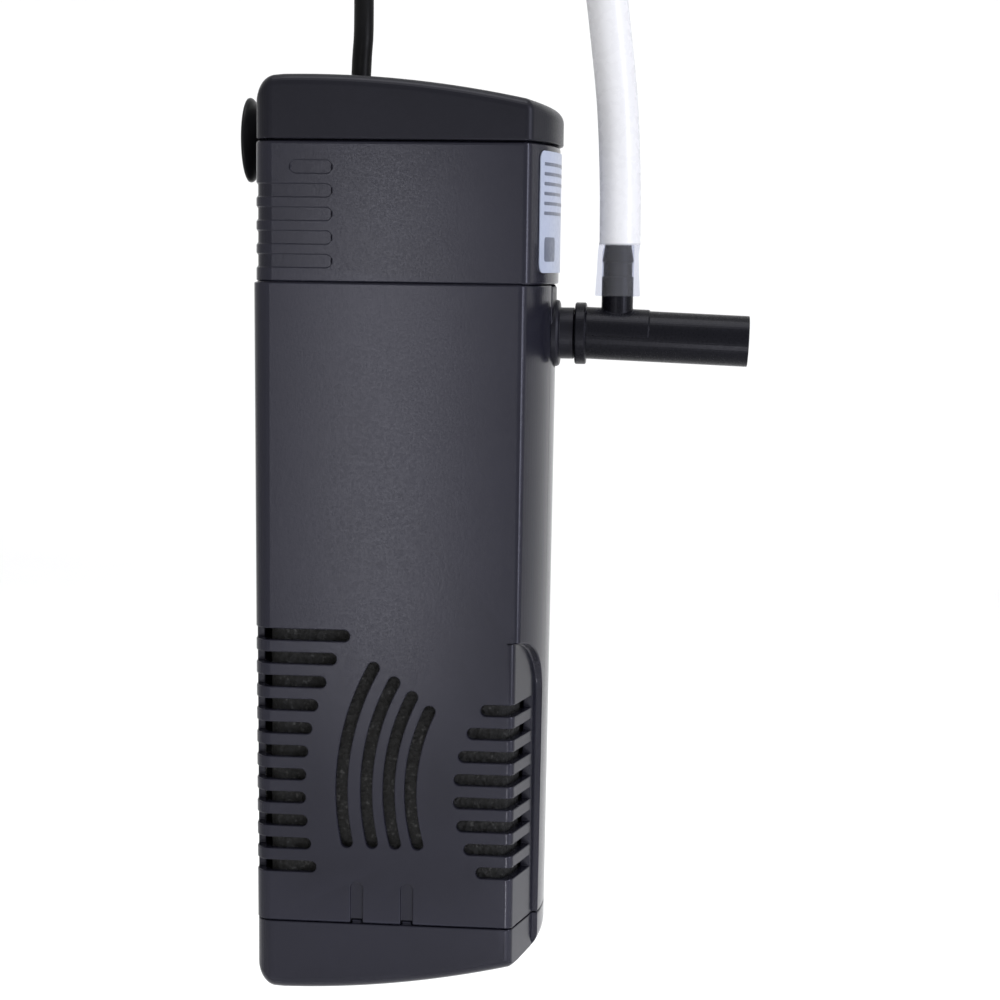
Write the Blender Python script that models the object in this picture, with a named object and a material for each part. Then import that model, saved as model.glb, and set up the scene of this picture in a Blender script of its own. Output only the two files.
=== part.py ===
"""Internal power filter for an aquarium: motor head, slotted canister, spout with air hose, mains lead.

Frame: +X points to the front (the spout), +Z up. The origin is the centre of the suction cup's rim,
in the plane that lies on the glass. All lengths below are millimetres; objects are made in metres.
"""

from math import asin, atan2, cos, pi, radians, sin, sqrt, tau

import bmesh
import bpy
from mathutils import Matrix, Vector

MM = 0.001
GAP = 0.3

# Heights of the three seams and the cambers that end the body
CAP_SEAM = -0.9
HEAD_SEAM = -38.5
BASE_SEAM = -214.95
TOP_APEX = (20.5, 16.1)
TOP_CAMBER = 285.0
TOP_BACK_ROUND = 7.0
TOP_ROUND_FALL = 0.7
BOTTOM_APEX = (11.0, -234.8)
BOTTOM_CAMBER = 262.0
TOP_FILLET = 3.0
BOTTOM_FILLET = 3.6
BOTTOM_FRONT_ROUND = 1.2
BOTTOM_BACK_ROUND = 7.0
BOTTOM_ROUND_RISE = 0.6

# Plan outlines: where the back face is, where the bulged front peaks, half the width
CAP = {"back": 6.9, "front": 87.5, "half": 28.0}
HEAD = {"back": 6.65, "front": 86.7, "half": 27.2}
CANISTER = {"back": 6.2, "front": 86.3, "half": 28.0}
CANISTER_INSIDE = {"back": 8.2, "front": 81.9, "half": 26.0}
DRAFT = 0.85
WALL = 2.0
BULGE_RADIUS = 60.0
BACK_CORNER = 5.0
FRONT_CORNER = 2.6

# The flat facets sunk into both front corners of the canister and the base
FACET_INNER = (83.0, 11.2)
FACET_OUTER = (77.9, 27.6)
FACET_TOP = -135.0
FACET_ARCH = 15.5

# Slot pattern on both sides: everything is concentric about one point
SLOT_CENTRE = (103.0, -177.0)
SLOT_HEIGHT = 3.2
SLOT_PITCH = 6.5
BACK_SLOTS = 11
BACK_SLOT_RADIUS = 82.0
FRONT_SLOTS = 8
FRONT_SLOT_RADIUS = 41.2
LOWEST_SLOT = -199.1
ARC_RADII = (72.0, 65.2, 59.0, 53.0)
ARC_TOP = -141.1
ARC_TOP_STEP = -3.9
ARC_BOTTOM = -193.3
SLOT_WRAP_BACK = 22.0
SLOT_WRAP_FRONT = 14.0

# Finger grooves on the head
GRIP_TOP = -8.2
GRIP_PITCH = 6.2
GRIPS = 5
GRIP_HEIGHT = 3.2
GRIP_END = 27.8
GRIP_START = 16.6
GRIP_DEPTH = 0.5
GRIP_BACK = 15.0

# Latch channels and tongues at the foot of the canister
LATCH_CENTRES = (35.3, 49.2)
LATCH_WIDTH = 3.4
LATCH_TOP = -203.0
LATCH_DEPTH = 0.6

# The four tall windows of the sponge's core tube
CORE_WINDOW_FOOT = -200.0
CORE_WINDOW_HEIGHT = 118.0
CORE_WINDOW_WIDTH = 9.0

# Motor and pump, on the vertical axis AXIS_X
AXIS_X = 46.5
OUTLET_Z = -52.05
CAN_BORE = 8.3
MAGNET_RADIUS = 7.6
CHAMBER_RADIUS = 20.0
SHAFT_RADIUS = 1.2
IMPELLER_RADIUS = 14.0
BLADES = 6

# Outlet and spout, on the horizontal outlet axis
BOSS_RADIUS = 9.2
BOSS_FACE = 87.5
NECK_RADIUS = 7.1
COLLAR_BACK = 91.7
COLLAR_FRONT = 94.8
COLLAR_RADIUS = 8.55
SPOUT_END = 139.5
SPOUT_RADIUS = 7.0
SPOUT_BORE = 5.7
SPOUT_DROOP = radians(1.95)
SADDLE_END = 112.0
SADDLE_RADIUS = 7.35
SADDLE_LOW = -0.2
BARB_X = 103.2
BARB_RADIUS = 4.35
BARB_TOP = -27.4
HOSE_FOOT = -41.6

# Label and suction cup
LABEL_HALF = 22.0
LABEL_LOW = -35.4
LABEL_HIGH = -3.1
CUP_RADIUS = 11.6
CUP_NECK = 2.5

# Free lines: the mains lead and the air hose
CORD_DIAMETER = 5.5
CORD_EXIT = (31.2, 0.0, 12.6)
COIL_CENTRE = (37.0, 48.0, -95.0)
COIL_ENTRY_Y = 42.5
COIL_INNER = 27.3
COIL_OUTER = 38.7
COIL_HALF_DEPTH = 8.4
HOSE_DIAMETER = 11.3
HOSE_POINTS = ((103.6, -26.9), (103.3, -10.0), (102.2, 10.0), (99.9, 30.0))
HOSE_BEND = 250.0
HOSE_REST = 125.0
VALVE_LENGTH = 26.0
KNOB_HEIGHT = 16.0
PIN_SPREAD = 5.2


# ---------------------------------------------------------------- materials


def material(name, colour, roughness, metallic=0.0, alpha=1.0):
    made = bpy.data.materials.new(name)
    made.use_nodes = True
    shader = made.node_tree.nodes["Principled BSDF"]
    shader.inputs["Base Color"].default_value = (*colour, 1.0)
    shader.inputs["Roughness"].default_value = roughness
    shader.inputs["Metallic"].default_value = metallic
    shader.inputs["Alpha"].default_value = alpha
    made.diffuse_color = (*colour, alpha)
    return made


FINISHES = {
    "charcoal_plastic": ((0.033, 0.033, 0.040), 0.45, 0.0, 1.0),
    "dark_plastic": ((0.012, 0.012, 0.014), 0.40, 0.0, 1.0),
    "black_rubber": ((0.010, 0.010, 0.011), 0.55, 0.0, 1.0),
    "black_sponge": ((0.008, 0.008, 0.008), 0.95, 0.0, 1.0),
    "cord_rubber": ((0.009, 0.009, 0.010), 0.50, 0.0, 1.0),
    "milky_hose": ((0.62, 0.64, 0.74), 0.25, 0.0, 0.8),
    "white_plastic": ((0.55, 0.56, 0.58), 0.40, 0.0, 1.0),
    "label_film": ((0.60, 0.66, 0.80), 0.35, 0.0, 1.0),
    "magnet_ferrite": ((0.03, 0.03, 0.03), 0.60, 0.0, 1.0),
    "ceramic": ((0.80, 0.80, 0.77), 0.30, 0.0, 1.0),
    "core_steel": ((0.35, 0.35, 0.36), 0.40, 1.0, 1.0),
    "copper_wire": ((0.60, 0.26, 0.12), 0.35, 1.0, 1.0),
    "nickel": ((0.60, 0.58, 0.55), 0.25, 1.0, 1.0),
}


# ---------------------------------------------------------------- mesh helpers


def clear_scene():
    for thing in list(bpy.data.objects):
        bpy.data.objects.remove(thing, do_unlink=True)


def pivot(name, place):
    """An empty on a joint's axis, which carries the pieces that move with it."""
    empty = bpy.data.objects.new(name, None)
    empty.location = Vector(place) * MM
    empty.empty_display_size = 0.01
    bpy.context.scene.collection.objects.link(empty)
    return empty


def add_mesh(name, points, faces, finish=None, parent=None):
    """A closed mesh from points in millimetres, its faces turned outwards."""
    shift = parent.location / MM if parent else Vector((0, 0, 0))
    mesh = bpy.data.meshes.new(name)
    mesh.from_pydata([(Vector(p) - shift) * MM for p in points], [], faces)
    work = bmesh.new()
    work.from_mesh(mesh)
    bmesh.ops.recalc_face_normals(work, faces=work.faces)
    work.to_mesh(mesh)
    work.free()
    thing = bpy.data.objects.new(name, mesh)
    bpy.context.scene.collection.objects.link(thing)
    thing.parent = parent
    if finish:
        mesh.materials.append(material(name, *FINISHES[finish]))
        mesh.shade_smooth()
        mesh.set_sharp_from_angle(angle=radians(35))
    return thing


def as_cutter(thing):
    thing.hide_render = True
    thing.display_type = "WIRE"
    return thing


def boolean(thing, other, operation):
    change = thing.modifiers.new(f"{operation.lower()} {other.name}", "BOOLEAN")
    change.operation = operation
    change.solver = "EXACT"
    change.object = as_cutter(other)


def cut(thing, *cutters):
    for cutter in cutters:
        boolean(thing, cutter, "DIFFERENCE")


def join(thing, *others):
    for other in others:
        boolean(thing, other, "UNION")


def loft(rings, closed_ends=True):
    """Points and faces through rings of equal length. Mirror-symmetric end rings are closed by strips."""
    count = len(rings[0])
    points = [p for ring in rings for p in ring]
    spans = len(rings) - 1 if closed_ends else len(rings)
    faces = []
    for k in range(spans):
        low, high = k * count, (k + 1) % len(rings) * count
        for i in range(count):
            j = (i + 1) % count
            faces.append((low + i, low + j, high + j, high + i))
    if closed_ends:
        for start in (0, spans * count):
            for i in range(count // 2 - 1):
                far = count - 1 - i
                faces.append((start + i, start + i + 1, start + far - 1, start + far))
    return points, faces


def turned(profile, centre=(0, 0, 0), axis="Z", steps=24):
    """Points and faces of a closed profile of (radius, height) turned about an axis through centre."""
    place = {
        "X": lambda r, a, h: (h, r * cos(a), r * sin(a)),
        "Y": lambda r, a, h: (r * sin(a), h, r * cos(a)),
        "Z": lambda r, a, h: (r * cos(a), r * sin(a), h),
    }[axis]
    points = []
    rows = []
    for radius, height in profile:
        turns = [0.0] if radius == 0 else [tau * k / steps for k in range(steps)]
        rows.append(range(len(points), len(points) + len(turns)))
        points += [Vector(place(radius, a, height)) + Vector(centre) for a in turns]
    faces = []
    for row, following in zip(rows, rows[1:] + rows[:1]):
        if len(row) == 1 and len(following) == 1:
            continue
        for k in range(steps):
            n = (k + 1) % steps
            ends = [row[k % len(row)], row[n % len(row)]]
            ends += [following[n % len(following)], following[k % len(following)]]
            faces.append(tuple(dict.fromkeys(ends)))
    return points, faces


def box(low, high):
    points = [(x, y, z) for x in (low[0], high[0]) for y in (low[1], high[1]) for z in (low[2], high[2])]
    return points, [(0, 1, 3, 2), (4, 6, 7, 5), (0, 4, 5, 1), (2, 3, 7, 6), (0, 2, 6, 4), (1, 5, 7, 3)]


def prism(outline, low, high, axis="Y"):
    """A closed outline of pairs pushed along an axis. The pairs are the other two coordinates in order."""
    index = "XYZ".index(axis)

    def at(pair, height):
        values = list(pair)
        values.insert(index, height)
        return tuple(values)

    count = len(outline)
    points = [at(p, low) for p in outline] + [at(p, high) for p in outline]
    sides = [(i, (i + 1) % count, count + (i + 1) % count, count + i) for i in range(count)]
    return points, [tuple(range(count)), tuple(range(count, 2 * count)), *sides]


def merged(*shapes):
    """Several closed shapes as one list of points and faces, for a cutter of separate bodies."""
    points, faces = [], []
    for more_points, more_faces in shapes:
        start = len(points)
        points += list(more_points)
        faces += [tuple(start + i for i in face) for face in more_faces]
    return points, faces


def arc_points(centre, radius, start, end, steps):
    """Pairs along an arc, angles in radians."""
    angles = [start + (end - start) * k / steps for k in range(steps + 1)]
    return [(centre[0] + radius * cos(a), centre[1] + radius * sin(a)) for a in angles]


# ---------------------------------------------------------------- outlines of the body


def plan_half(shape, grow):
    """The near half (y below 0) of a plan outline, from the back face to the front's peak."""
    back, front, half = shape["back"] - grow, shape["front"] + grow, shape["half"] + grow
    bulge = BULGE_RADIUS + grow
    rear = max(BACK_CORNER + grow, 0.6)
    nose = max(FRONT_CORNER + grow, 0.5)
    arc_x = front - bulge
    nose_x = arc_x + sqrt((bulge - nose) ** 2 - (half - nose) ** 2)
    lean = asin((half - nose) / (bulge - nose))
    points = arc_points((back + rear, rear - half), rear, -pi, -pi / 2, 4)
    side = 7
    points += [(back + rear + (nose_x - back - rear) * k / side, -half) for k in range(1, side)]
    points += arc_points((nose_x, nose - half), nose, -pi / 2, -lean, 3)
    steps = 6
    points += [
        (arc_x + bulge * cos(a), -bulge * sin(a))
        for a in (lean * (1 - k / (steps + 0.5)) for k in range(1, steps + 1))
    ]
    return points


def ring(shape, height, grow=0.0):
    """A plan outline at a height, which is a number or a function of x."""
    near = plan_half(shape, grow)
    plan = near + [(x, -y) for x, y in reversed(near)]
    return [(x, y, height(x) if callable(height) else height) for x, y in plan]


def top_height(x):
    """A long camber that falls to the front, with a rounded back edge."""
    into = min(max((CAP["back"] + TOP_BACK_ROUND - x) / TOP_BACK_ROUND, 0.0), 1.0)
    fall = TOP_ROUND_FALL * TOP_BACK_ROUND * (1 - sqrt(1 - into**2))
    return TOP_APEX[1] - (x - TOP_APEX[0]) ** 2 / (2 * TOP_CAMBER) - fall


def bottom_height(x):
    """A long camber that rises to the front, with a rounded front and back edge."""
    rise = max(x - BOTTOM_APEX[0], 0.0) ** 2 / (2 * BOTTOM_CAMBER)
    front = x - (CANISTER["front"] - DRAFT - BOTTOM_FRONT_ROUND)
    back = CANISTER["back"] + DRAFT + BOTTOM_BACK_ROUND - x
    for reach, radius in ((front, BOTTOM_FRONT_ROUND), (back, BOTTOM_BACK_ROUND)):
        into = min(max(reach / radius, 0.0), 1.0)
        rise += BOTTOM_ROUND_RISE * radius * (1 - sqrt(1 - into**2))
    return BOTTOM_APEX[1] + rise


def filleted(shape, surface, radius, sign, steps=3):
    """Rings that round a wall over into the surface height(x). sign is 1 at the top, -1 at the bottom."""
    rings = []
    for k in range(steps + 1):
        turn = pi / 2 * k / steps
        drop = radius * (1 - sin(turn))
        rings.append(ring(shape, lambda x: surface(x) - sign * drop, -radius * (1 - cos(turn))))
    return rings


# ---------------------------------------------------------------- body shells


def make_top_cap():
    inner_roof = [ring(CAP, lambda x: top_height(x) - WALL, -WALL - 1.5)]
    inner_wall = [
        ring(CAP, lambda x: top_height(x) - WALL - 1.5, -WALL),
        ring(CAP, CAP_SEAM, -WALL),
    ]
    outer_wall = [ring(CAP, CAP_SEAM)]
    cap = add_mesh(
        "top_cap",
        *loft(inner_roof + inner_wall + outer_wall + filleted(CAP, top_height, TOP_FILLET, 1)),
        "charcoal_plastic",
    )
    hole = turned([(0, 0), (4.5, 0), (4.5, 30), (0, 30)], (CORD_EXIT[0], 0, 0), "Z", 24)
    cut(cap, add_mesh("cap_cord_hole", *hole))
    cut(cap, add_mesh("cap_cup_notch", *cup_hole()))


def cup_hole():
    """The hole for the suction cup's neck, which the seam between cap and head splits."""
    return turned([(0, 0), (CUP_NECK + 0.4, 0), (CUP_NECK + 0.4, 14), (0, 14)], (0, 0, 0), "X", 20)


def make_head_shell():
    tongue_in, tongue_out = -3.8, -2.5
    rings = [
        ring(HEAD, HEAD_SEAM + 2.0, -WALL),
        ring(HEAD, CAP_SEAM - 5.0, -WALL),
        ring(CAP, CAP_SEAM - 3.5, tongue_in),
        ring(CAP, CAP_SEAM + 3.0, tongue_in),
        ring(CAP, CAP_SEAM + 3.0, tongue_out),
        ring(CAP, CAP_SEAM - GAP, tongue_out),
        ring(HEAD, CAP_SEAM - GAP),
        ring(HEAD, HEAD_SEAM),
        ring(CANISTER_INSIDE, HEAD_SEAM, -GAP),
        ring(CANISTER_INSIDE, HEAD_SEAM - 3.3, -GAP),
        ring(CANISTER_INSIDE, HEAD_SEAM - 3.3, -GAP - 1.5),
        ring(CANISTER_INSIDE, HEAD_SEAM - GAP, -GAP - 1.5),
    ]
    head = add_mesh("head_shell", *loft(rings), "charcoal_plastic")
    hole = turned(
        [(0, -45), (CAN_BORE + 1.6, -45), (CAN_BORE + 1.6, -30), (0, -30)], (AXIS_X, 0, 0), "Z", 32
    )
    cut(head, add_mesh("head_can_hole", *hole))
    cut(head, add_mesh("head_cup_notch", *cup_hole()))
    cut(head, add_mesh("head_finger_grooves", *merged(*finger_grooves())))


def finger_grooves():
    """Five grooves on each side. All but the top one run round the back corner and end on the back."""
    half = GRIP_HEIGHT / 2
    turn_x, turn_y = HEAD["back"] + BACK_CORNER, HEAD["half"] - BACK_CORNER
    straight, bend = GRIP_END - turn_x, BACK_CORNER * pi / 2
    places = [half * (1 - cos(pi / 2 * k / 3)) for k in range(1, 3 + 1)]
    for side in (-1, 1):
        for k in range(GRIPS):
            height = GRIP_TOP - GRIP_PITCH * k
            length = straight + bend + turn_y - GRIP_BACK if k else GRIP_END - GRIP_START
            corner = [straight + bend * i / 4 for i in range(4 + 1)] if k else []
            rings = []
            for along in places + corner + [length - p for p in reversed(places)]:
                angle = pi / 2 + min(max(along - straight, 0.0), bend) / BACK_CORNER
                x = turn_x + max(straight - along, 0.0) + BACK_CORNER * cos(angle)
                y = turn_y + BACK_CORNER * sin(angle) - max(along - straight - bend, 0.0)
                tall = sqrt(half**2 - max(half - min(along, length - along), 0.0) ** 2)
                rings.append(
                    [
                        (x + reach * cos(angle), side * (y + reach * sin(angle)), height + rise)
                        for reach, rise in ((-GRIP_DEPTH, -tall), (-GRIP_DEPTH, tall), (5, tall), (5, -tall))
                    ]
                )
            yield loft(rings)


def facet_cutters():
    """Everything outside the sunk corner facets: an arch-topped slab at each front corner."""
    slope = (FACET_OUTER[0] - FACET_INNER[0]) / (FACET_OUTER[1] - FACET_INNER[1])
    outside = 40.0
    centre = (outside, FACET_TOP - FACET_ARCH)
    reach = FACET_OUTER[1] - FACET_INNER[1]
    arch = [
        (FACET_OUTER[1] - reach * sin(a), centre[1] + FACET_ARCH * cos(a))
        for a in (pi / 2 * k / 8 for k in range(9))
    ]
    outline = [(outside, FACET_TOP)] + arch + [(FACET_INNER[1], -260.0), (outside, -260.0)]
    shapes = []
    for side in (-1, 1):
        count = len(outline)
        inner = [(FACET_INNER[0] + slope * (y - FACET_INNER[1]), side * y, z) for y, z in outline]
        outer = [(100.0, side * y, z) for y, z in outline]
        sides = [(i, (i + 1) % count, count + (i + 1) % count, count + i) for i in range(count)]
        shapes.append((inner + outer, [tuple(range(count)), tuple(range(count, 2 * count)), *sides]))
    return merged(*shapes)


def slot_end(radius, z):
    """Where a slot at height z meets a circle about the slot pattern's centre."""
    return SLOT_CENTRE[0] - sqrt(radius**2 - (z - SLOT_CENTRE[1]) ** 2)


def slot_shapes():
    """The cutters of the slots on both sides, each with a round end on the side face."""
    half = SLOT_HEIGHT / 2
    for side in (-1, 1):
        for k in range(BACK_SLOTS):
            z = LOWEST_SLOT + SLOT_PITCH * k
            end = slot_end(BACK_SLOT_RADIUS, z) - half
            outline = arc_points((end, z), half, -pi / 2, pi / 2, 4) + [(0.0, z + half), (0.0, z - half)]
            yield prism(outline, *sorted((side * SLOT_WRAP_BACK, side * 40)))
        for k in range(FRONT_SLOTS):
            z = LOWEST_SLOT + SLOT_PITCH * k
            start = slot_end(FRONT_SLOT_RADIUS, z) + half
            outline = arc_points((start, z), half, pi / 2, 3 * pi / 2, 4)
            outline += [(95.0, z - half), (95.0, z + half)]
            yield prism(outline, *sorted((side * SLOT_WRAP_FRONT, side * 40)))
        for k, radius in enumerate(ARC_RADII):
            yield arc_slot(radius, ARC_TOP + ARC_TOP_STEP * k, side)


def arc_slot(radius, top, side):
    """A curved slot of constant width between two heights, with round ends."""
    half = SLOT_HEIGHT / 2
    start = pi - asin((top - half - SLOT_CENTRE[1]) / radius)
    end = pi - asin((ARC_BOTTOM + half - SLOT_CENTRE[1]) / radius)
    first = (SLOT_CENTRE[0] + radius * cos(start), SLOT_CENTRE[1] + radius * sin(start))
    last = (SLOT_CENTRE[0] + radius * cos(end), SLOT_CENTRE[1] + radius * sin(end))
    outline = arc_points(SLOT_CENTRE, radius + half, start, end, 7)
    outline += arc_points(last, half, end, end + pi, 4)[1:-1]
    outline += arc_points(SLOT_CENTRE, radius - half, end, start, 7)
    outline += arc_points(first, half, start - pi, start, 4)[1:-1]
    return prism(outline, *sorted((side * SLOT_WRAP_BACK, side * 40)))


def make_canister_shell(mover):
    rings = [
        ring(CANISTER, BASE_SEAM + GAP, -DRAFT),
        ring(CANISTER, HEAD_SEAM - GAP),
        ring(CANISTER_INSIDE, HEAD_SEAM - GAP),
        ring(CANISTER_INSIDE, BASE_SEAM + GAP, -DRAFT),
    ]
    shell = add_mesh(
        "canister_shell", *loft(rings, closed_ends=False), "charcoal_plastic", mover
    )
    reach = BOSS_RADIUS + 0.4
    outline = arc_points((0, OUTLET_Z), reach, -pi, 0, 16) + [(reach, -30), (-reach, -30)]
    cut(shell, add_mesh("canister_outlet_slot", *prism(outline, 70, 95, "X")))
    cut(shell, add_mesh("canister_facets", *facet_cutters()))
    cut(shell, add_mesh("canister_slots", *merged(*slot_shapes())))
    cut(shell, add_mesh("canister_latch_channels", *merged(*latch_channels())))
    cut(shell, add_mesh("canister_latch_windows", *merged(*latch_windows())))


def latch_channels():
    """Shallow upright channels with round tops."""
    half = LATCH_WIDTH / 2
    face = CANISTER["half"] - DRAFT
    for side in (-1, 1):
        for x in LATCH_CENTRES:
            outline = arc_points((x, LATCH_TOP - half), half, 0, pi, 4)
            outline += [(x - half, BASE_SEAM - 3), (x + half, BASE_SEAM - 3)]
            yield prism(outline, *sorted((side * (face - LATCH_DEPTH), side * 40)))


def latch_windows():
    """Openings at the feet of the channels, which take the hooks of the base's tongues."""
    half = LATCH_WIDTH / 2
    for side in (-1, 1):
        for x in LATCH_CENTRES:
            near, far = sorted((side * 20, side * 40))
            yield box((x - half, near, BASE_SEAM - 3), (x + half, far, BASE_SEAM + 1.3))


def make_bottom_cap(mover):
    inside = {"back": 9.1, "front": 79.0, "half": 25.1}
    spigot = {"back": 9.4, "front": 80.7, "half": 24.85}
    rings = [ring(inside, lambda x: bottom_height(x) + 2.2, -1.2)]
    rings += [
        ring(inside, BASE_SEAM + 2.0, -1.2),
        ring(spigot, BASE_SEAM + 2.0),
        ring(spigot, BASE_SEAM),
        ring(CANISTER, BASE_SEAM, -DRAFT),
    ]
    rings += filleted_base()
    base = add_mesh("bottom_cap", *loft(rings), "charcoal_plastic", mover)
    cut(base, add_mesh("base_facets", *facet_cutters()))
    for index, (side, x) in enumerate((s, x) for s in (-1, 1) for x in LATCH_CENTRES):
        join(base, add_mesh(f"base_tongue_{index + 1}", *latch_tongue(side, x)))


def filleted_base():
    shape = {
        "back": CANISTER["back"] + DRAFT,
        "front": CANISTER["front"] - DRAFT,
        "half": CANISTER["half"] - DRAFT,
    }
    return filleted(shape, bottom_height, BOTTOM_FILLET, -1)


def latch_tongue(side, x):
    """A springy tongue that rises from the base's spigot, with a hook in the canister's window."""
    half = LATCH_WIDTH / 2 - 0.4
    profile = [
        (24.6, BASE_SEAM - 3.0),
        (24.6, BASE_SEAM + 1.0),
        (26.0, BASE_SEAM + 1.0),
        (26.5, BASE_SEAM + 0.6),
        (26.2, BASE_SEAM + 0.2),
        (26.2, BASE_SEAM - 3.0),
    ]
    outline = [(side * y, z) for y, z in profile]
    return prism(outline, x - half, x + half, "X")


def make_sponge(mover):
    plan = {"back": 10.0, "front": 80.4, "half": 24.7}
    rings = [ring(plan, -208.5), ring(plan, -77.0)]
    sponge = add_mesh("sponge", *loft(rings), "black_sponge", mover)
    bore = turned([(0, -220), (11.2, -220), (11.2, -60), (0, -60)], (AXIS_X, 0, 0), "Z", 24)
    cut(sponge, add_mesh("sponge_bore", *bore))


def make_core_tube(mover):
    """The perforated tube in the sponge, which leads the filtered water up to the pump."""
    profile = [(8.8, -208.0), (10.6, -208.0), (10.6, -72.0), (8.8, -72.0)]
    tube = add_mesh("core_tube", *turned(profile, (AXIS_X, 0, 0), "Z", 16), "dark_plastic", mover)
    half = CORE_WINDOW_WIDTH / 2
    low, high = CORE_WINDOW_FOOT, CORE_WINDOW_FOOT + CORE_WINDOW_HEIGHT
    cut(tube, add_mesh("core_windows_1", *box((AXIS_X - 20, -half, low), (AXIS_X + 20, half, high))))
    cut(tube, add_mesh("core_windows_2", *box((AXIS_X - half, -20, low), (AXIS_X + half, 20, high))))


# ---------------------------------------------------------------- motor and pump


def make_motor():
    axis = (AXIS_X, 0, 0)
    can = [
        (0, -5.2),
        (3.7, -5.2),
        (3.7, -8.6),
        (CAN_BORE, -8.6),
        (CAN_BORE, -41.4),
        (CHAMBER_RADIUS, -41.4),
        (CHAMBER_RADIUS, -39.1),
        (CAN_BORE + 1.2, -39.1),
        (CAN_BORE + 1.2, -7.4),
        (4.9, -7.4),
        (4.9, -4.0),
        (0, -4.0),
    ]
    add_mesh("rotor_can", *turned(can, axis), "dark_plastic")
    shaft = [(0, -67.2), (SHAFT_RADIUS, -67.2), (SHAFT_RADIUS, -5.7), (0, -5.7)]
    add_mesh("ceramic_shaft", *turned(shaft, axis, "Z", 16), "ceramic")
    for name, low, high in (("upper_bush", -8.3, -5.5), ("lower_bush", -65.6, -62.9)):
        bush = [(SHAFT_RADIUS + 0.2, low), (3.4, low), (3.4, high), (SHAFT_RADIUS + 0.2, high)]
        add_mesh(name, *turned(bush, axis, "Z", 20), "black_rubber")


def make_stator():
    """A U-shaped stack of laminations whose two legs take the rotor can between them."""
    low, high = -31.0, -13.0
    outline = [
        (14.5, -18),
        (60, -18),
        (60, -6.8),
        (23.5, -6.8),
        (23.5, 6.8),
        (60, 6.8),
        (60, 18),
        (14.5, 18),
    ]
    core = add_mesh("stator_core", *prism(outline, low, high, "Z"), "core_steel")
    bore = turned([(0, -50), (10.0, -50), (10.0, 0), (0, 0)], (AXIS_X, 0, 0), "Z", 28)
    cut(core, add_mesh("stator_bore", *bore))
    bobbin = add_mesh("coil_bobbin", *box((12.9, -6.4, -32.6), (25.1, 6.4, -11.4)), "white_plastic")
    for index, y in enumerate((-6.4, 5.2)):
        flange = box((11.0, y, -35.0), (27.4, y + 1.2, -9.0))
        join(bobbin, add_mesh(f"bobbin_flange_{index + 1}", *flange))
    cut(bobbin, add_mesh("bobbin_bore", *box((14.2, -20, -31.3), (23.8, 20, -12.7))))
    winding = add_mesh("coil_winding", *box((11.3, -4.9, -34.7), (27.1, 4.9, -9.3)), "copper_wire")
    cut(winding, add_mesh("winding_window", *box((12.6, -20, -32.9), (25.4, 20, -11.1))))


def make_sealing_plate():
    """The plate over the motor compartment, with a hole for the lead."""
    inside = {"back": 14.5, "front": 81.5, "half": 23.0}
    plate = add_mesh("sealing_plate", *loft([ring(inside, -3.0), ring(inside, -1.2)]), "dark_plastic")
    hole = turned([(0, -10), (3.4, -10), (3.4, 5), (0, 5)], (CORD_EXIT[0], 0, 0), "Z", 20)
    cut(plate, add_mesh("plate_lead_hole", *hole))


def make_pump_chamber():
    axis = (AXIS_X, 0, 0)
    solid = [(0, -62.3), (CHAMBER_RADIUS, -62.3), (CHAMBER_RADIUS, -41.7), (0, -41.7)]
    chamber = add_mesh("pump_chamber", *turned(solid, axis, "Z", 28), "charcoal_plastic")
    boss = [
        (0, 56.0),
        (BOSS_RADIUS, 56.0),
        (BOSS_RADIUS, BOSS_FACE - 0.6),
        (BOSS_RADIUS - 0.6, BOSS_FACE),
        (NECK_RADIUS, BOSS_FACE),
        (NECK_RADIUS, COLLAR_BACK - GAP),
        (5.2, COLLAR_BACK - GAP),
        (5.2, 101.0),
        (0, 101.0),
    ]
    join(chamber, add_mesh("chamber_boss", *turned(boss, (0, 0, OUTLET_Z), "X", 24)))
    join(chamber, add_mesh("chamber_apron", *outlet_apron()))
    room = turned([(0, -70), (18.0, -70), (18.0, -30), (0, -30)], axis, "Z", 28)
    bore = turned([(0, 50), (4.1, 50), (4.1, 110), (0, 110)], (0, 0, OUTLET_Z), "X", 24)
    cut(chamber, add_mesh("chamber_room", *room))
    cut(chamber, add_mesh("chamber_outlet_bore", *bore))


def outlet_apron():
    """Fills the canister's open slot above the boss, flush with the bulged front."""
    reach = BOSS_RADIUS - 0.4
    centre = CANISTER["front"] - BULGE_RADIUS
    spread = asin(reach / BULGE_RADIUS)
    outer = arc_points((centre, 0), BULGE_RADIUS, -spread, spread, 6)
    inner = [(82.2, reach), (82.2, -reach)]
    return prism(outer + inner, OUTLET_Z + 1.3, HEAD_SEAM - 0.8, "Z")


def make_chamber_cover():
    axis = (AXIS_X, 0, 0)
    plate = [
        (9.2, -70.0),
        (10.8, -70.0),
        (10.8, -64.6),
        (CHAMBER_RADIUS, -64.6),
        (CHAMBER_RADIUS, -62.6),
        (9.2, -62.6),
    ]
    cover = add_mesh("chamber_cover", *turned(plate, axis), "dark_plastic")
    for k in range(3):
        points, faces = box((4.4, -1.0, -66.6), (10.0, 1.0, -63.0))
        spin = Matrix.Rotation(tau * k / 3, 3, "Z")
        points = [spin @ Vector(p) + Vector(axis) for p in points]
        join(cover, add_mesh(f"cover_spoke_{k + 1}", points, faces))
    hub = [
        (0, -69.0),
        (5.0, -69.0),
        (5.0, -62.6),
        (3.7, -62.6),
        (3.7, -66.0),
        (1.5, -66.0),
        (1.5, -67.5),
        (0, -67.5),
    ]
    join(cover, add_mesh("cover_hub", *turned(hub, axis, "Z", 24)))


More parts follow.
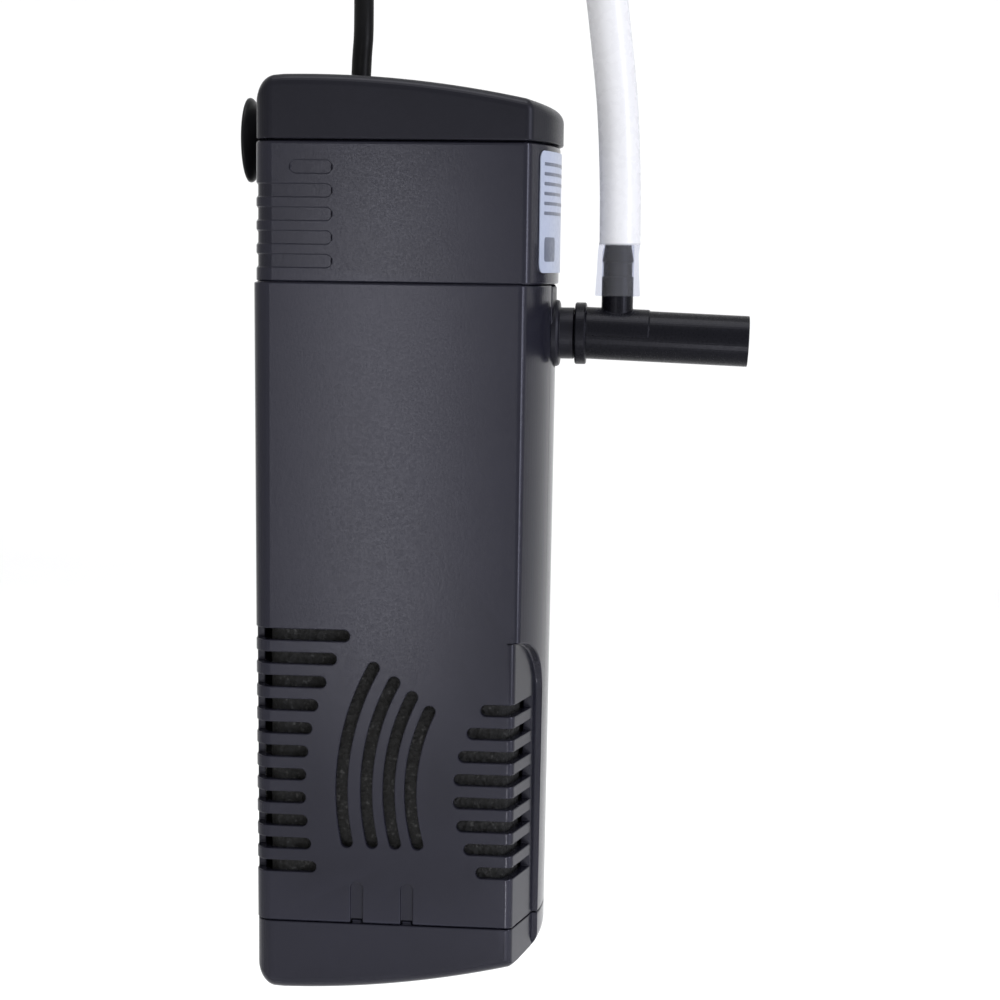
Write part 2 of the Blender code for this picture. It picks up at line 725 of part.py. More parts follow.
def make_rotor(mover):
    axis = (AXIS_X, 0, 0)
    bore = SHAFT_RADIUS + 0.35
    magnet = [(bore, -35.5), (MAGNET_RADIUS, -35.5), (MAGNET_RADIUS, -9.6), (bore, -9.6)]
    add_mesh("rotor_magnet", *turned(magnet, axis, "Z", 28), "magnet_ferrite", mover)
    hub = [(bore, -60.5), (4.2, -60.5), (4.2, -35.8), (bore, -35.8)]
    impeller = add_mesh("impeller", *turned(hub, axis, "Z", 24), "white_plastic", mover)
    disc = [(3.0, -46.4), (IMPELLER_RADIUS, -46.4), (IMPELLER_RADIUS, -44.8), (3.0, -44.8)]
    join(impeller, add_mesh("impeller_disc", *turned(disc, axis, "Z", 28)))
    for k in range(BLADES):
        points, faces = box((3.2, -0.7, -60.0), (IMPELLER_RADIUS - 0.4, 0.7, -45.6))
        spin = Matrix.Rotation(tau * k / BLADES, 3, "Z")
        points = [spin @ Vector(p) + Vector(axis) for p in points]
        join(impeller, add_mesh(f"impeller_blade_{k + 1}", points, faces))


# ---------------------------------------------------------------- outlet, hose, cup, label


def make_spout(mover):
    """Collar, drooping tube, saddle and air barb in one moulding."""
    outer = [
        (0, COLLAR_BACK),
        (COLLAR_RADIUS - 0.4, COLLAR_BACK),
        (COLLAR_RADIUS, COLLAR_BACK + 0.4),
        (COLLAR_RADIUS, COLLAR_FRONT - 0.4),
        (COLLAR_RADIUS - 0.4, COLLAR_FRONT),
        (0, COLLAR_FRONT),
    ]
    spout = add_mesh("spout_tube", *turned(outer, (0, 0, OUTLET_Z), "X", 24), "dark_plastic", mover)
    reach = SPOUT_END - COLLAR_FRONT
    barrel = [(0, -2.6), (SPOUT_RADIUS, -2.6), (SPOUT_RADIUS, reach), (0, reach)]
    droop = Matrix.Rotation(SPOUT_DROOP, 3, "Y")
    hinge = Vector((COLLAR_FRONT, 0, OUTLET_Z))
    points, faces = turned(barrel, (0, 0, 0), "X", 24)
    join(spout, add_mesh("spout_barrel", [droop @ Vector(p) + hinge for p in points], faces))
    rim = arc_points((0, 0), SADDLE_RADIUS, pi, 0, 16)
    saddle = [(-SADDLE_RADIUS, SADDLE_LOW)] + rim[1:-1] + [(SADDLE_RADIUS, SADDLE_LOW)]
    points, faces = prism(saddle, -0.5, SADDLE_END - COLLAR_FRONT, "X")
    join(spout, add_mesh("spout_saddle", [droop @ Vector(p) + hinge for p in points], faces))
    barb = [
        (0, OUTLET_Z),
        (BARB_RADIUS, OUTLET_Z),
        (BARB_RADIUS, BARB_TOP - 5.0),
        (BARB_RADIUS + 0.25, BARB_TOP - 5.0),
        (BARB_RADIUS - 0.75, BARB_TOP),
        (0, BARB_TOP),
    ]
    join(spout, add_mesh("spout_barb", *turned(barb, (BARB_X, 0, 0), "Z", 24)))
    bore = [(0, -20), (SPOUT_BORE, -20), (SPOUT_BORE, 60), (0, 60)]
    points, faces = turned(bore, (0, 0, 0), "X", 22)
    cut(spout, add_mesh("spout_bore", [droop @ Vector(p) + hinge for p in points], faces))
    seat = [(0, 80), (7.2, 80), (7.2, COLLAR_BACK + 2.0), (0, COLLAR_BACK + 2.0)]
    cut(spout, add_mesh("spout_seal_seat", *turned(seat, (0, 0, OUTLET_Z), "X", 22)))
    air = turned([(0, OUTLET_Z + 2), (2.4, OUTLET_Z + 2), (2.4, 0), (0, 0)], (BARB_X, 0, 0), "Z", 20)
    cut(spout, add_mesh("spout_air_bore", *air))
    low, high = COLLAR_BACK + 0.1, COLLAR_BACK + 1.7
    seal = [(5.45, low), (6.9, low), (6.9, high), (5.45, high)]
    add_mesh("spout_seal", *turned(seal, (0, 0, OUTLET_Z), "X", 24), "black_rubber", mover)
    grip = BARB_RADIUS + 0.5
    foot = [
        (grip, HOSE_FOOT),
        (6.25, HOSE_FOOT),
        (6.1, HOSE_FOOT + 3),
        (HOSE_DIAMETER / 2, HOSE_FOOT + 9),
        (HOSE_DIAMETER / 2, BARB_TOP + 0.2),
        (grip, BARB_TOP + 0.2),
    ]
    add_mesh("hose_end", *turned(foot, (BARB_X, 0, 0), "Z", 24), "milky_hose", mover)


def make_suction_cup():
    profile = [
        (0, 3.4),
        (5.0, 2.6),
        (8.5, 1.2),
        (10.1, 0),
        (CUP_RADIUS - 0.1, 0),
        (CUP_RADIUS, 0.8),
        (9.4, 2.4),
        (6.2, 4.2),
        (3.6, 5.6),
        (CUP_NECK, 6.4),
        (CUP_NECK, 11.2),
        (4.2, 11.2),
        (3.6, 12.8),
        (0, 13.2),
    ]
    add_mesh("suction_cup", *turned(profile, (0, 0, 0), "X", 24), "black_rubber")


def make_label():
    """A rounded film on the head's bulged front."""
    centre = HEAD["front"] - BULGE_RADIUS
    spread = asin(LABEL_HALF / BULGE_RADIUS)
    outer = arc_points((centre, 0), BULGE_RADIUS + 0.4, -spread, spread, 8)
    inner = arc_points((centre, 0), BULGE_RADIUS + 0.12, spread, -spread, 8)
    add_mesh("rating_label", *prism(outer + inner, LABEL_LOW, LABEL_HIGH, "Z"), "label_film")


# ---------------------------------------------------------------- cords


def smooth_route(route, spacing):
    """Points at even spacing along a Catmull-Rom curve through the route's own points."""
    points = [Vector(p) for p in route]
    ends = [2 * points[0] - points[1], *points, 2 * points[-1] - points[-2]]
    dense = []
    for a, b, c, d in zip(ends, ends[1:], ends[2:], ends[3:]):
        for k in range(24):
            t = k / 24
            bent = (2 * a - 5 * b + 4 * c - d) * t**2 + (3 * b - a - 3 * c + d) * t**3
            dense.append(0.5 * (2 * b + (c - a) * t + bent))
    dense.append(points[-1])
    lengths = [0.0]
    for p, q in zip(dense, dense[1:]):
        lengths.append(lengths[-1] + (q - p).length)
    count = max(round(lengths[-1] / spacing), 2)
    even = []
    k = 0
    for step in range(count + 1):
        goal = lengths[-1] * step / count
        while k < len(lengths) - 2 and lengths[k + 1] < goal:
            k += 1
        share = (goal - lengths[k]) / max(lengths[k + 1] - lengths[k], 1e-9)
        even.append(dense[k].lerp(dense[k + 1], share))
    return even


def tube(name, route, diameter, finish, parent=None, spacing=2.6):
    """A round tube along a route, with closed ends."""
    shift = parent.location / MM if parent else Vector((0, 0, 0))
    points = smooth_route(route, spacing * diameter)
    curve = bpy.data.curves.new(name, "CURVE")
    curve.dimensions = "3D"
    curve.bevel_depth = diameter / 2 * MM
    curve.bevel_resolution = 3
    curve.use_fill_caps = True
    spline = curve.splines.new("POLY")
    spline.points.add(len(points) - 1)
    for slot, point in zip(spline.points, points):
        slot.co = (*((point - shift) * MM), 1.0)
    curve.materials.append(material(name, *FINISHES[finish]))
    thing = bpy.data.objects.new(name, curve)
    bpy.context.scene.collection.objects.link(thing)
    thing.parent = parent
    return thing


# The lead: straight out of the cap, over in an arch, and down behind the body to the coil
LEAD_ROUTE = (
    (31.2, 0.0, 13.0),
    (31.5, 0.0, 22.0),
    (32.0, 0.0, 30.0),
    (30.9, 7.1, 47.5),
    (28.3, 24.3, 54.6),
    (25.7, 41.5, 47.5),
    (24.5, 48.2, 30.0),
    (23.3, 48.3, 12.0),
    (20.0, 47.8, -8.0),
    (12.5, 46.0, -30.0),
    (5.0, 43.8, -50.0),
    (1.8, 42.6, -64.0),
    (1.25, COIL_ENTRY_Y, -70.2),
)
LEAD_END_ROUTE = (
    (1.25, 48.0, -119.8),
    (1.5, 48.0, -128.0),
    (2.2, 48.0, -137.0),
    (3.0, 48.0, -145.7),
)
PLUG_TOP = (3.0, 48.0, -146.0)


def make_gland():
    """A grommet in the cap, flush with its top, which holds the lead."""
    x = CORD_EXIT[0]
    inside, outside = CORD_DIAMETER / 2 + 0.2, 4.2
    profile = [(inside, 9.6), (6.4, 9.6), (6.4, 13.0), (outside, 13.0), (outside, 15.7), (inside, 15.7)]
    add_mesh("cord_gland", *turned(profile, (x, 0, 0), "Z", 24), "black_rubber")
    lead = [(0, -0.9), (CORD_DIAMETER / 2, -0.9), (CORD_DIAMETER / 2, 12.7), (0, 12.7)]
    add_mesh("inner_lead", *turned(lead, (x, 0, 0), "Z", 12), "cord_rubber")


def make_lead():
    tube("power_cord", LEAD_ROUTE, CORD_DIAMETER, "cord_rubber")
    profile = [
        (COIL_INNER, -COIL_HALF_DEPTH + 2),
        (COIL_INNER + 2, -COIL_HALF_DEPTH),
        (COIL_OUTER - 2, -COIL_HALF_DEPTH),
        (COIL_OUTER, -COIL_HALF_DEPTH + 2),
        (COIL_OUTER, COIL_HALF_DEPTH - 2),
        (COIL_OUTER - 2, COIL_HALF_DEPTH),
        (COIL_INNER + 2, COIL_HALF_DEPTH),
        (COIL_INNER, COIL_HALF_DEPTH - 2),
    ]
    add_mesh("cord_coil", *turned(profile, COIL_CENTRE, "Y", 32), "cord_rubber")
    tube("power_cord_end", LEAD_END_ROUTE, CORD_DIAMETER, "cord_rubber")
    make_tie()
    make_plug()


def make_tie():
    """A flat band round the bundle of turns, on the coil's front side."""
    x, y, z = COIL_CENTRE
    wide, thick = 3.2, 1.0
    inner, outer, deep = COIL_INNER - 2 * GAP, COIL_OUTER + GAP, COIL_HALF_DEPTH + GAP
    low = (x + inner - thick, y - deep - thick, z - wide)
    high = (x + outer + thick, y + deep + thick, z + wide)
    tie = add_mesh("cord_tie", *box(low, high), "black_rubber")
    window = box((x + inner, y - deep, z - 9), (x + outer, y + deep, z + 9))
    cut(tie, add_mesh("tie_window", *window))


def make_plug():
    """A flat two-pin mains plug that hangs from the lead's end."""
    x, y, z = PLUG_TOP
    sections = [
        (3.4, 3.4, 0.0),
        (4.2, 4.0, -9.0),
        (8.6, 6.2, -15.0),
        (9.0, 6.6, -30.0),
        (8.2, 6.0, -35.0),
    ]
    rings = []
    for half_x, half_y, drop in sections:
        corner = 0.55
        outline = []
        for k in range(24):
            a = tau * (k + 0.5) / 24
            u, v = cos(a), sin(a)
            outline.append(
                (
                    x + half_x * (abs(u) ** corner) * (1 if u > 0 else -1),
                    y + half_y * (abs(v) ** corner) * (1 if v > 0 else -1),
                    z + drop,
                )
            )
        rings.append(outline)
    add_mesh("plug_body", *loft(rings), "cord_rubber")
    for name, side in (("plug_pin_left", -1), ("plug_pin_right", 1)):
        pin = [(0, -19.0), (1.4, -19.0), (2.0, -17.6), (2.0, 0), (0, 0)]
        place = (x + side * PIN_SPREAD, y, z - 35.3)
        add_mesh(name, *turned(pin, place, "Z", 16), "nickel")


def hose_route():
    """Up from the barb, then on in a slow bend over the head."""
    route = [Vector((x, 0, z)) for x, z in HOSE_POINTS]
    (x0, z0), (x1, z1) = HOSE_POINTS[-2:]
    lean = atan2(x0 - x1, z1 - z0)
    start = Vector((x1, 0, z1))
    steps = 5
    for k in range(1, steps + 1):
        turn = lean + HOSE_REST * k / steps / HOSE_BEND
        aside = HOSE_BEND * (cos(lean) - cos(turn))
        up = HOSE_BEND * (sin(turn) - sin(lean))
        route.append(start + Vector((-aside, 0, up)))
    return route, lean + HOSE_REST / HOSE_BEND


def make_hose_and_valve(mover, knob_mover, route, lean):
    """The hose, and on its far end the valve that sets how much air is drawn in."""
    valve_place = route[-1]
    tube("air_hose", route, HOSE_DIAMETER, "milky_hose", mover, spacing=1.6)
    tilt = Matrix.Rotation(-lean, 3, "Y")

    def leaned(points):
        return [tilt @ Vector(p) + valve_place for p in points]

    profile = [
        (0, 0.4),
        (6.4, 0.4),
        (6.4, 7.0),
        (5.4, 8.0),
        (5.4, VALVE_LENGTH - 1),
        (4.6, VALVE_LENGTH),
        (2.2, VALVE_LENGTH),
        (2.2, 12.0),
        (0, 12.0),
    ]
    points, faces = turned(profile, (0, 0, 0), "Z", 24)
    body = add_mesh("air_valve_body", leaned(points), faces, "dark_plastic", mover)
    centre = (0, 0, KNOB_HEIGHT)
    points, faces = turned([(0, -10.0), (3.6, -10.0), (3.6, 0), (0, 0)], centre, "Y", 20)
    join(body, add_mesh("valve_knob_seat", leaned(points), faces))
    knob = [(0, -10.3), (5.2, -10.3), (5.6, -10.7), (5.6, -14.6), (5.0, -15.2), (0, -15.2)]
    points, faces = turned(knob, centre, "Y", 24)
    wheel = add_mesh("air_valve_knob", leaned(points), faces, "dark_plastic", knob_mover)
    points, faces = box((-1.0, -17.4, KNOB_HEIGHT - 4.6), (1.0, -14.8, KNOB_HEIGHT + 4.6))
    join(wheel, add_mesh("knob_bar", leaned(points), faces))


# ---------------------------------------------------------------- assembly


def build():
    clear_scene()
    make_top_cap()
    make_head_shell()
    make_sealing_plate()
    make_motor()
    make_stator()
    make_pump_chamber()
    make_chamber_cover()
    make_suction_cup()
    make_label()
    make_gland()
    make_lead()
    make_rotor(pivot("rotor_axis", (AXIS_X, 0, -50.0)))
    canister = pivot("canister_slide", (AXIS_X, 0, HEAD_SEAM))
    make_canister_shell(canister)
    make_sponge(canister)
    make_core_tube(canister)
    make_bottom_cap(pivot("base_slide", (AXIS_X, 0, BASE_SEAM)))
    spout = pivot("spout_axis", (COLLAR_BACK, 0, OUTLET_Z))
    make_spout(spout)
    route, lean = hose_route()
    tilt = Matrix.Rotation(-lean, 3, "Y")
    knob = pivot("knob_axis", route[-1] + tilt @ Vector((0, 0, KNOB_HEIGHT)))
    make_hose_and_valve(spout, knob, route, lean)


build()
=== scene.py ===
"""The looks of an internal power filter: moulded shells, sponge, hoses, lead and their materials.

Every piece stands in the CAD model's frame: +X to the front (the spout), +Z up, and the origin in the
suction cup's rim. Lengths are in millimetres and become metres where a mesh is made.
"""

from math import asin, atan, atan2, cos, pi, radians, sin, sqrt, tau

import bmesh
import bpy
from mathutils import Matrix, Vector, noise


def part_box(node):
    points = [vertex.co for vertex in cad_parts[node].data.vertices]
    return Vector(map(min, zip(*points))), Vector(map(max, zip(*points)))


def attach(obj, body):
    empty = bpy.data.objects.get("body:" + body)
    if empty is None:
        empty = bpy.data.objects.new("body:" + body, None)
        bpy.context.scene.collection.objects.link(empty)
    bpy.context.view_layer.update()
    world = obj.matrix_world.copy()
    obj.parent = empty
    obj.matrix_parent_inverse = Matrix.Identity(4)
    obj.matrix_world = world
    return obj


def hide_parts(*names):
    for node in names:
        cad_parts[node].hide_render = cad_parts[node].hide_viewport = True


MM = 0.001

# The camera: its place, its turns and its lens
CAMERA_PLACE = (117.2, -557.0, -31.04)
CAMERA_YAW = atan(2000 / 24300)
CAMERA_PITCH = atan(244 / 2000)
CAMERA_ROLL = atan(0.0134)
CAMERA_LENS = 72.0

# Heights of the three seams and the cambers that end the body
CAP_SEAM = -0.9
HEAD_SEAM = -38.5
BASE_SEAM = -214.95
TOP_APEX = (20.5, 16.1)
TOP_CAMBER = 285.0
TOP_BACK_ROUND = 7.0
TOP_ROUND_FALL = 0.7
TOP_FILLET = 3.0
BOTTOM_APEX = (11.0, -234.8)
BOTTOM_CAMBER = 262.0
BOTTOM_FILLET = 3.6
BOTTOM_FRONT_ROUND = 1.2
BOTTOM_BACK_ROUND = 7.0
BOTTOM_ROUND_RISE = 0.6
GAP = 0.3

# Plan outlines: the back face, the peak of the bulged front, half the width
CAP = {"back": 6.9, "front": 87.5, "half": 28.0}
HEAD = {"back": 6.65, "front": 86.7, "half": 27.2}
CANISTER = {"back": 6.2, "front": 86.3, "half": 28.0}
CANISTER_INSIDE = {"back": 8.2, "front": 81.9, "half": 26.0}
DRAFT = 0.85
WALL = 2.0
BULGE_RADIUS = 60.0
BACK_CORNER = 5.0
REAR_STEPS = 10
FRONT_CORNER = 2.6
# How many faces a long side gets where the surface over it is cambered
LONG_SIDE = 24

# Facets sunk into the front corners
FACET_INNER = (83.0, 11.2)
FACET_OUTER = (77.9, 27.6)
FACET_TOP = -135.0
FACET_ARCH = 15.5
FACET_ROUND = 2.2

# Slots, concentric about one point
SLOT_CENTRE = (103.0, -177.0)
SLOT_HEIGHT = 3.2
SLOT_PITCH = 6.5
BACK_SLOTS = 11
BACK_SLOT_RADIUS = 82.0
FRONT_SLOTS = 8
FRONT_SLOT_RADIUS = 41.2
LOWEST_SLOT = -199.1
ARC_RADII = (72.0, 65.2, 59.0, 53.0)
ARC_TOP = -141.1
ARC_TOP_STEP = -3.9
ARC_BOTTOM = -193.3
SLOT_WRAP_BACK = 22.0
SLOT_WRAP_FRONT = 14.0
# A distance clear of both sides, where the side cutters end
OUTSIDE_Y = 40

# Finger grooves, latch channels
GRIP_TOP = -8.2
GRIP_PITCH = 6.2
GRIPS = 5
GRIP_HEIGHT = 3.2
GRIP_END = 27.8
GRIP_START = 16.6
GRIP_DEPTH = 0.5
GRIP_SIDE_DEPTH = 0.16
GRIP_SLOPE = 0.35
GRIP_BACK = 15.0
LATCH_CENTRES = (35.3, 49.2)
LATCH_WIDTH = 3.4
LATCH_TOP = -203.0
LATCH_DEPTH = 0.6

# Pump and outlet
MOTOR_AXIS = (46.5, 0, 0)
OUTLET_Z = -52.05
OUTLET = (0, 0, OUTLET_Z)
OUTLET_BORE = 4.1
ROOM_RADIUS = 18.0
SEAL_SEAT = 7.2
AIR_BORE = 2.4
SPONGE_BORE = 11.3
CHAMBER_RADIUS = 20.0
CAN_BORE = 8.3
BOSS_RADIUS = 9.2
BOSS_FACE = 87.5
NECK_RADIUS = 7.1
COLLAR_BACK = 91.7
COLLAR_FRONT = 94.8
COLLAR_RADIUS = 8.55
SPOUT_END = 139.5
SPOUT_RADIUS = 7.0
SPOUT_BORE = 5.7
SPOUT_DROOP = radians(1.95)
SADDLE_END = 112.0
SADDLE_RADIUS = 7.35
SADDLE_LOW = -0.2
BARB_X = 103.2
BARB_RADIUS = 4.35
BARB_TOP = -27.4

# Suction cup and label
CUP_RADIUS = 11.6
CUP_NECK = 2.5
LABEL_HALF = 22.0
LABEL_LOW = -35.4
LABEL_HIGH = -3.1

# The mains lead and the air hose
CORD_DIAMETER = 5.5
CORD_HOLE = 4.45
CORD_EXIT = (31.2, 0.0, 12.6)
COIL_CENTRE = (37.0, 48.0, -95.0)
COIL_OUTSIDE = 35.75
COIL_INSIDE = 30.25
HOSE_DIAMETER = 11.3
HOSE_BORE = 8.0
HOSE_FOOT = -41.6
HOSE_POINTS = ((103.6, -26.9), (103.3, -10.0), (102.2, 10.0), (99.9, 30.0))
HOSE_BEND = 250.0
HOSE_REST = 125.0
VALVE_LENGTH = 26.0
KNOB_HEIGHT = 16.0

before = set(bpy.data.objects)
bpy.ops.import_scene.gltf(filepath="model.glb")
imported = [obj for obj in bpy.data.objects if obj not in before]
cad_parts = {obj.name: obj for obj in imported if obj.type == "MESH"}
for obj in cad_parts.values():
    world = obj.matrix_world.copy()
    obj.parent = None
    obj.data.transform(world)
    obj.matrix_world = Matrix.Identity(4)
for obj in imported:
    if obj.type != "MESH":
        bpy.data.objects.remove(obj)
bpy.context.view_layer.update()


# ---- mesh helpers


def finish_mesh(thing, smooth_angle=32):
    """Smooth shading with sharp edges where faces meet at more than the angle."""
    thing.data.shade_smooth()
    thing.data.set_sharp_from_angle(angle=radians(smooth_angle))


def add_mesh(name, points, faces):
    """A mesh from points in millimetres, its faces turned outwards."""
    mesh = bpy.data.meshes.new(name)
    mesh.from_pydata([Vector(p) * MM for p in points], [], faces)
    work = bmesh.new()
    work.from_mesh(mesh)
    bmesh.ops.recalc_face_normals(work, faces=work.faces)
    work.to_mesh(mesh)
    work.free()
    thing = bpy.data.objects.new(name, mesh)
    bpy.context.scene.collection.objects.link(thing)
    return thing


def apply_modifiers(thing):
    """The shape after its modifiers becomes the mesh itself."""
    bpy.context.view_layer.update()
    shape = thing.evaluated_get(bpy.context.evaluated_depsgraph_get())
    mesh = bpy.data.meshes.new_from_object(shape)
    thing.modifiers.clear()
    thing.data = mesh


def carve(thing, cutters=(), additions=()):
    """Shapes joined to a piece, then shapes taken out of it."""
    steps = [(shape, "UNION") for shape in additions] + [(shape, "DIFFERENCE") for shape in cutters]
    for shape, operation in steps:
        other = add_mesh("other", *shape)
        change = thing.modifiers.new("carve", "BOOLEAN")
        change.operation = operation
        change.solver = "EXACT"
        change.object = other
        apply_modifiers(thing)
        bpy.data.objects.remove(other, do_unlink=True)


def soften(thing, width, angle=35, segments=2):
    """Rounds the moulded edges that are sharper than the angle."""
    work = bmesh.new()
    work.from_mesh(thing.data)
    bmesh.ops.remove_doubles(work, verts=work.verts, dist=0.00002)
    bmesh.ops.dissolve_degenerate(work, edges=work.edges, dist=0.00002)
    work.to_mesh(thing.data)
    work.free()
    rounding = thing.modifiers.new("rounding", "BEVEL")
    rounding.width = width * MM
    rounding.segments = segments
    rounding.limit_method = "ANGLE"
    rounding.angle_limit = radians(angle)
    rounding.use_clamp_overlap = False
    rounding.miter_outer = "MITER_ARC"
    even = thing.modifiers.new("even normals", "WEIGHTED_NORMAL")
    even.keep_sharp = True
    apply_modifiers(thing)


def loft(rings, closed_ends=True):
    """Points and faces through rings of equal length. Strips close mirror-symmetric end rings."""
    count = len(rings[0])
    points = [p for ring in rings for p in ring]
    spans = len(rings) - 1 if closed_ends else len(rings)
    faces = []
    for k in range(spans):
        low, high = k * count, (k + 1) % len(rings) * count
        for i in range(count):
            j = (i + 1) % count
            faces.append((low + i, low + j, high + j, high + i))
    if closed_ends:
        for start in (0, spans * count):
            for i in range(count // 2 - 1):
                far = count - 1 - i
                faces.append((start + i, start + i + 1, start + far - 1, start + far))
    return points, faces


def turned(profile, centre=(0, 0, 0), axis="Z", steps=64):
    """Points and faces of a closed profile of (radius, height) turned about an axis through centre."""
    place = {
        "X": lambda r, a, h: (h, r * cos(a), r * sin(a)),
        "Y": lambda r, a, h: (r * sin(a), h, r * cos(a)),
        "Z": lambda r, a, h: (r * cos(a), r * sin(a), h),
    }[axis]
    points = []
    rows = []
    for radius, height in profile:
        turns = [0.0] if radius == 0 else [tau * k / steps for k in range(steps)]
        rows.append(range(len(points), len(points) + len(turns)))
        points += [Vector(place(radius, a, height)) + Vector(centre) for a in turns]
    faces = []
    for row, following in zip(rows, rows[1:] + rows[:1]):
        if len(row) == 1 and len(following) == 1:
            continue
        for k in range(steps):
            n = (k + 1) % steps
            ends = [row[k % len(row)], row[n % len(row)]]
            ends += [following[n % len(following)], following[k % len(following)]]
            faces.append(tuple(dict.fromkeys(ends)))
    return points, faces


def rod(radius, low, high):
    """The profile of a plain round rod, for turned()."""
    return [(0, low), (radius, low), (radius, high), (0, high)]


def box(low, high):
    spans = list(zip(low, high))
    points = [(x, y, z) for x in spans[0] for y in spans[1] for z in spans[2]]
    return points, [(0, 1, 3, 2), (4, 6, 7, 5), (0, 4, 5, 1), (2, 3, 7, 6), (0, 2, 6, 4), (1, 5, 7, 3)]


def prism(outline, low, high, axis="Y"):
    """A closed outline pushed along an axis. Its pairs are the other two coordinates in order."""
    index = "XYZ".index(axis)

    def at(pair, height):
        values = list(pair)
        values.insert(index, height)
        return tuple(values)

    count = len(outline)
    points = [at(p, low) for p in outline] + [at(p, high) for p in outline]
    sides = [(i, (i + 1) % count, count + (i + 1) % count, count + i) for i in range(count)]
    return points, [tuple(range(count)), tuple(range(count, 2 * count)), *sides]


def merged(*shapes):
    points, faces = [], []
    for more_points, more_faces in shapes:
        start = len(points)
        points += list(more_points)
        faces += [tuple(start + i for i in face) for face in more_faces]
    return points, faces


def moved(shape, matrix):
    points, faces = shape
    return [matrix @ Vector(p) for p in points], faces


def held(share):
    return min(max(share, 0.0), 1.0)


def scaled(colour, factor):
    return tuple(min(c * factor, 1) for c in colour)


def arc_points(centre, radius, start, end, steps):
    angles = [start + (end - start) * k / steps for k in range(steps + 1)]
    return [(centre[0] + radius * cos(a), centre[1] + radius * sin(a)) for a in angles]


# ---- materials


NOISE_RANGE = (0.3, 0.7)


class Nodes:
    """A short way to build a node material."""

    def __init__(self, name):
        self.made = bpy.data.materials.new(name)
        self.made.use_nodes = True
        self.tree = self.made.node_tree
        self.shader = self.tree.nodes["Principled BSDF"]
        self.place = self.add("ShaderNodeTexCoord").outputs["Object"]

    def add(self, kind, inputs=None, **values):
        node = self.tree.nodes.new(kind)
        for key, value in values.items():
            setattr(node, key, value)
        for key, value in (inputs or {}).items():
            node.inputs[key].default_value = value
        return node

    def link(self, source, target):
        self.tree.links.new(source, target)

    def noise(self, scale, detail=3.0, roughness=0.55, stretch=None):
        place = self.place
        if stretch:
            mapping = self.add("ShaderNodeMapping", {"Scale": stretch})
            self.link(self.place, mapping.inputs["Vector"])
            place = mapping.outputs["Vector"]
        inputs = {"Scale": scale, "Detail": detail, "Roughness": roughness}
        node = self.add("ShaderNodeTexNoise", inputs)
        self.link(place, node.inputs["Vector"])
        return node.outputs["Fac"]

    def cells(self, scale):
        node = self.add("ShaderNodeTexVoronoi", {"Scale": scale})
        self.link(self.place, node.inputs["Vector"])
        return node.outputs["Distance"]

    def span(self, value, low, high, start=0.0, end=1.0):
        """value from low to high mapped to start to end, and held there beyond."""
        inputs = {"From Min": low, "From Max": high, "To Min": start, "To Max": end}
        node = self.add("ShaderNodeMapRange", inputs)
        self.link(value, node.inputs["Value"])
        return node.outputs["Result"]

    def spread(self, value, start=0.0, end=1.0):
        """The usual range of a noise mapped to start to end."""
        return self.span(value, *NOISE_RANGE, start, end)

    def blend(self, share, first, second):
        """A colour between two colours or colour outputs."""
        node = self.add("ShaderNodeMix", data_type="RGBA")
        self.link(share, node.inputs["Factor"])
        for key, value in ((6, first), (7, second)):
            if isinstance(value, tuple):
                node.inputs[key].default_value = (*value, 1.0)
            else:
                self.link(value, node.inputs[key])
        return node.outputs[2]

    def colour(self, output):
        self.link(output, self.shader.inputs["Base Color"])

    def roughness(self, output):
        self.link(output, self.shader.inputs["Roughness"])

    def bump(self, height, depth, after=None):
        node = self.add("ShaderNodeBump", {"Strength": 1.0, "Distance": depth * MM})
        self.link(height, node.inputs["Height"])
        if after:
            self.link(after, node.inputs["Normal"])
        self.link(node.outputs["Normal"], self.shader.inputs["Normal"])
        return node.outputs["Normal"]


def moulded(name, colour, grain=0.02, shine=(0.38, 0.5), edge_lightening=1.35, gloss=0.5, tint=(0.88, 0.88, 1.0)):
    """Moulded plastic: fine spark-eroded grain, clouded tone, edges made a little lighter."""
    m = Nodes(name)
    m.shader.inputs["Specular IOR Level"].default_value = gloss
    m.shader.inputs["Specular Tint"].default_value = (*tint, 1.0)
    cloud = m.noise(38, 4)
    fine = m.noise(1500, 2, 0.7)
    light = tuple(c * 1.16 for c in colour)
    base = m.blend(m.spread(cloud), scaled(colour, 0.86), light)
    edge = m.add("ShaderNodeNewGeometry").outputs["Pointiness"]
    # Convex edges, found by pointiness, take a lighter colour by the given factor
    m.colour(m.blend(m.span(edge, 0.51, 0.60), base, scaled(light, edge_lightening)))
    m.roughness(m.spread(fine, *shine))
    m.bump(fine, grain)
    return m.made


def rubber(name, colour, shine=(0.42, 0.55), depth=0.012):
    m = Nodes(name)
    m.shader.inputs["Specular IOR Level"].default_value = 0.07
    cloud = m.noise(90, 3)
    fine = m.noise(900, 3, 0.6)
    m.colour(m.blend(m.spread(cloud), scaled(colour, 0.8), scaled(colour, 1.25)))
    m.roughness(m.spread(fine, *shine))
    m.bump(fine, depth)
    return m.made


def foam(name):
    """Black open-cell foam with small bright struts between its pores."""
    m = Nodes(name)
    pores = m.cells(620)
    rough = m.noise(420, 4, 0.7)
    strut = m.span(m.noise(760, 2, 0.6), 0.60, 0.72)
    m.colour(m.blend(strut, (0.003, 0.003, 0.003), (0.035, 0.035, 0.035)))
    m.shader.inputs["Roughness"].default_value = 0.9
    m.bump(rough, 0.8, after=m.bump(pores, 1.0))
    return m.made


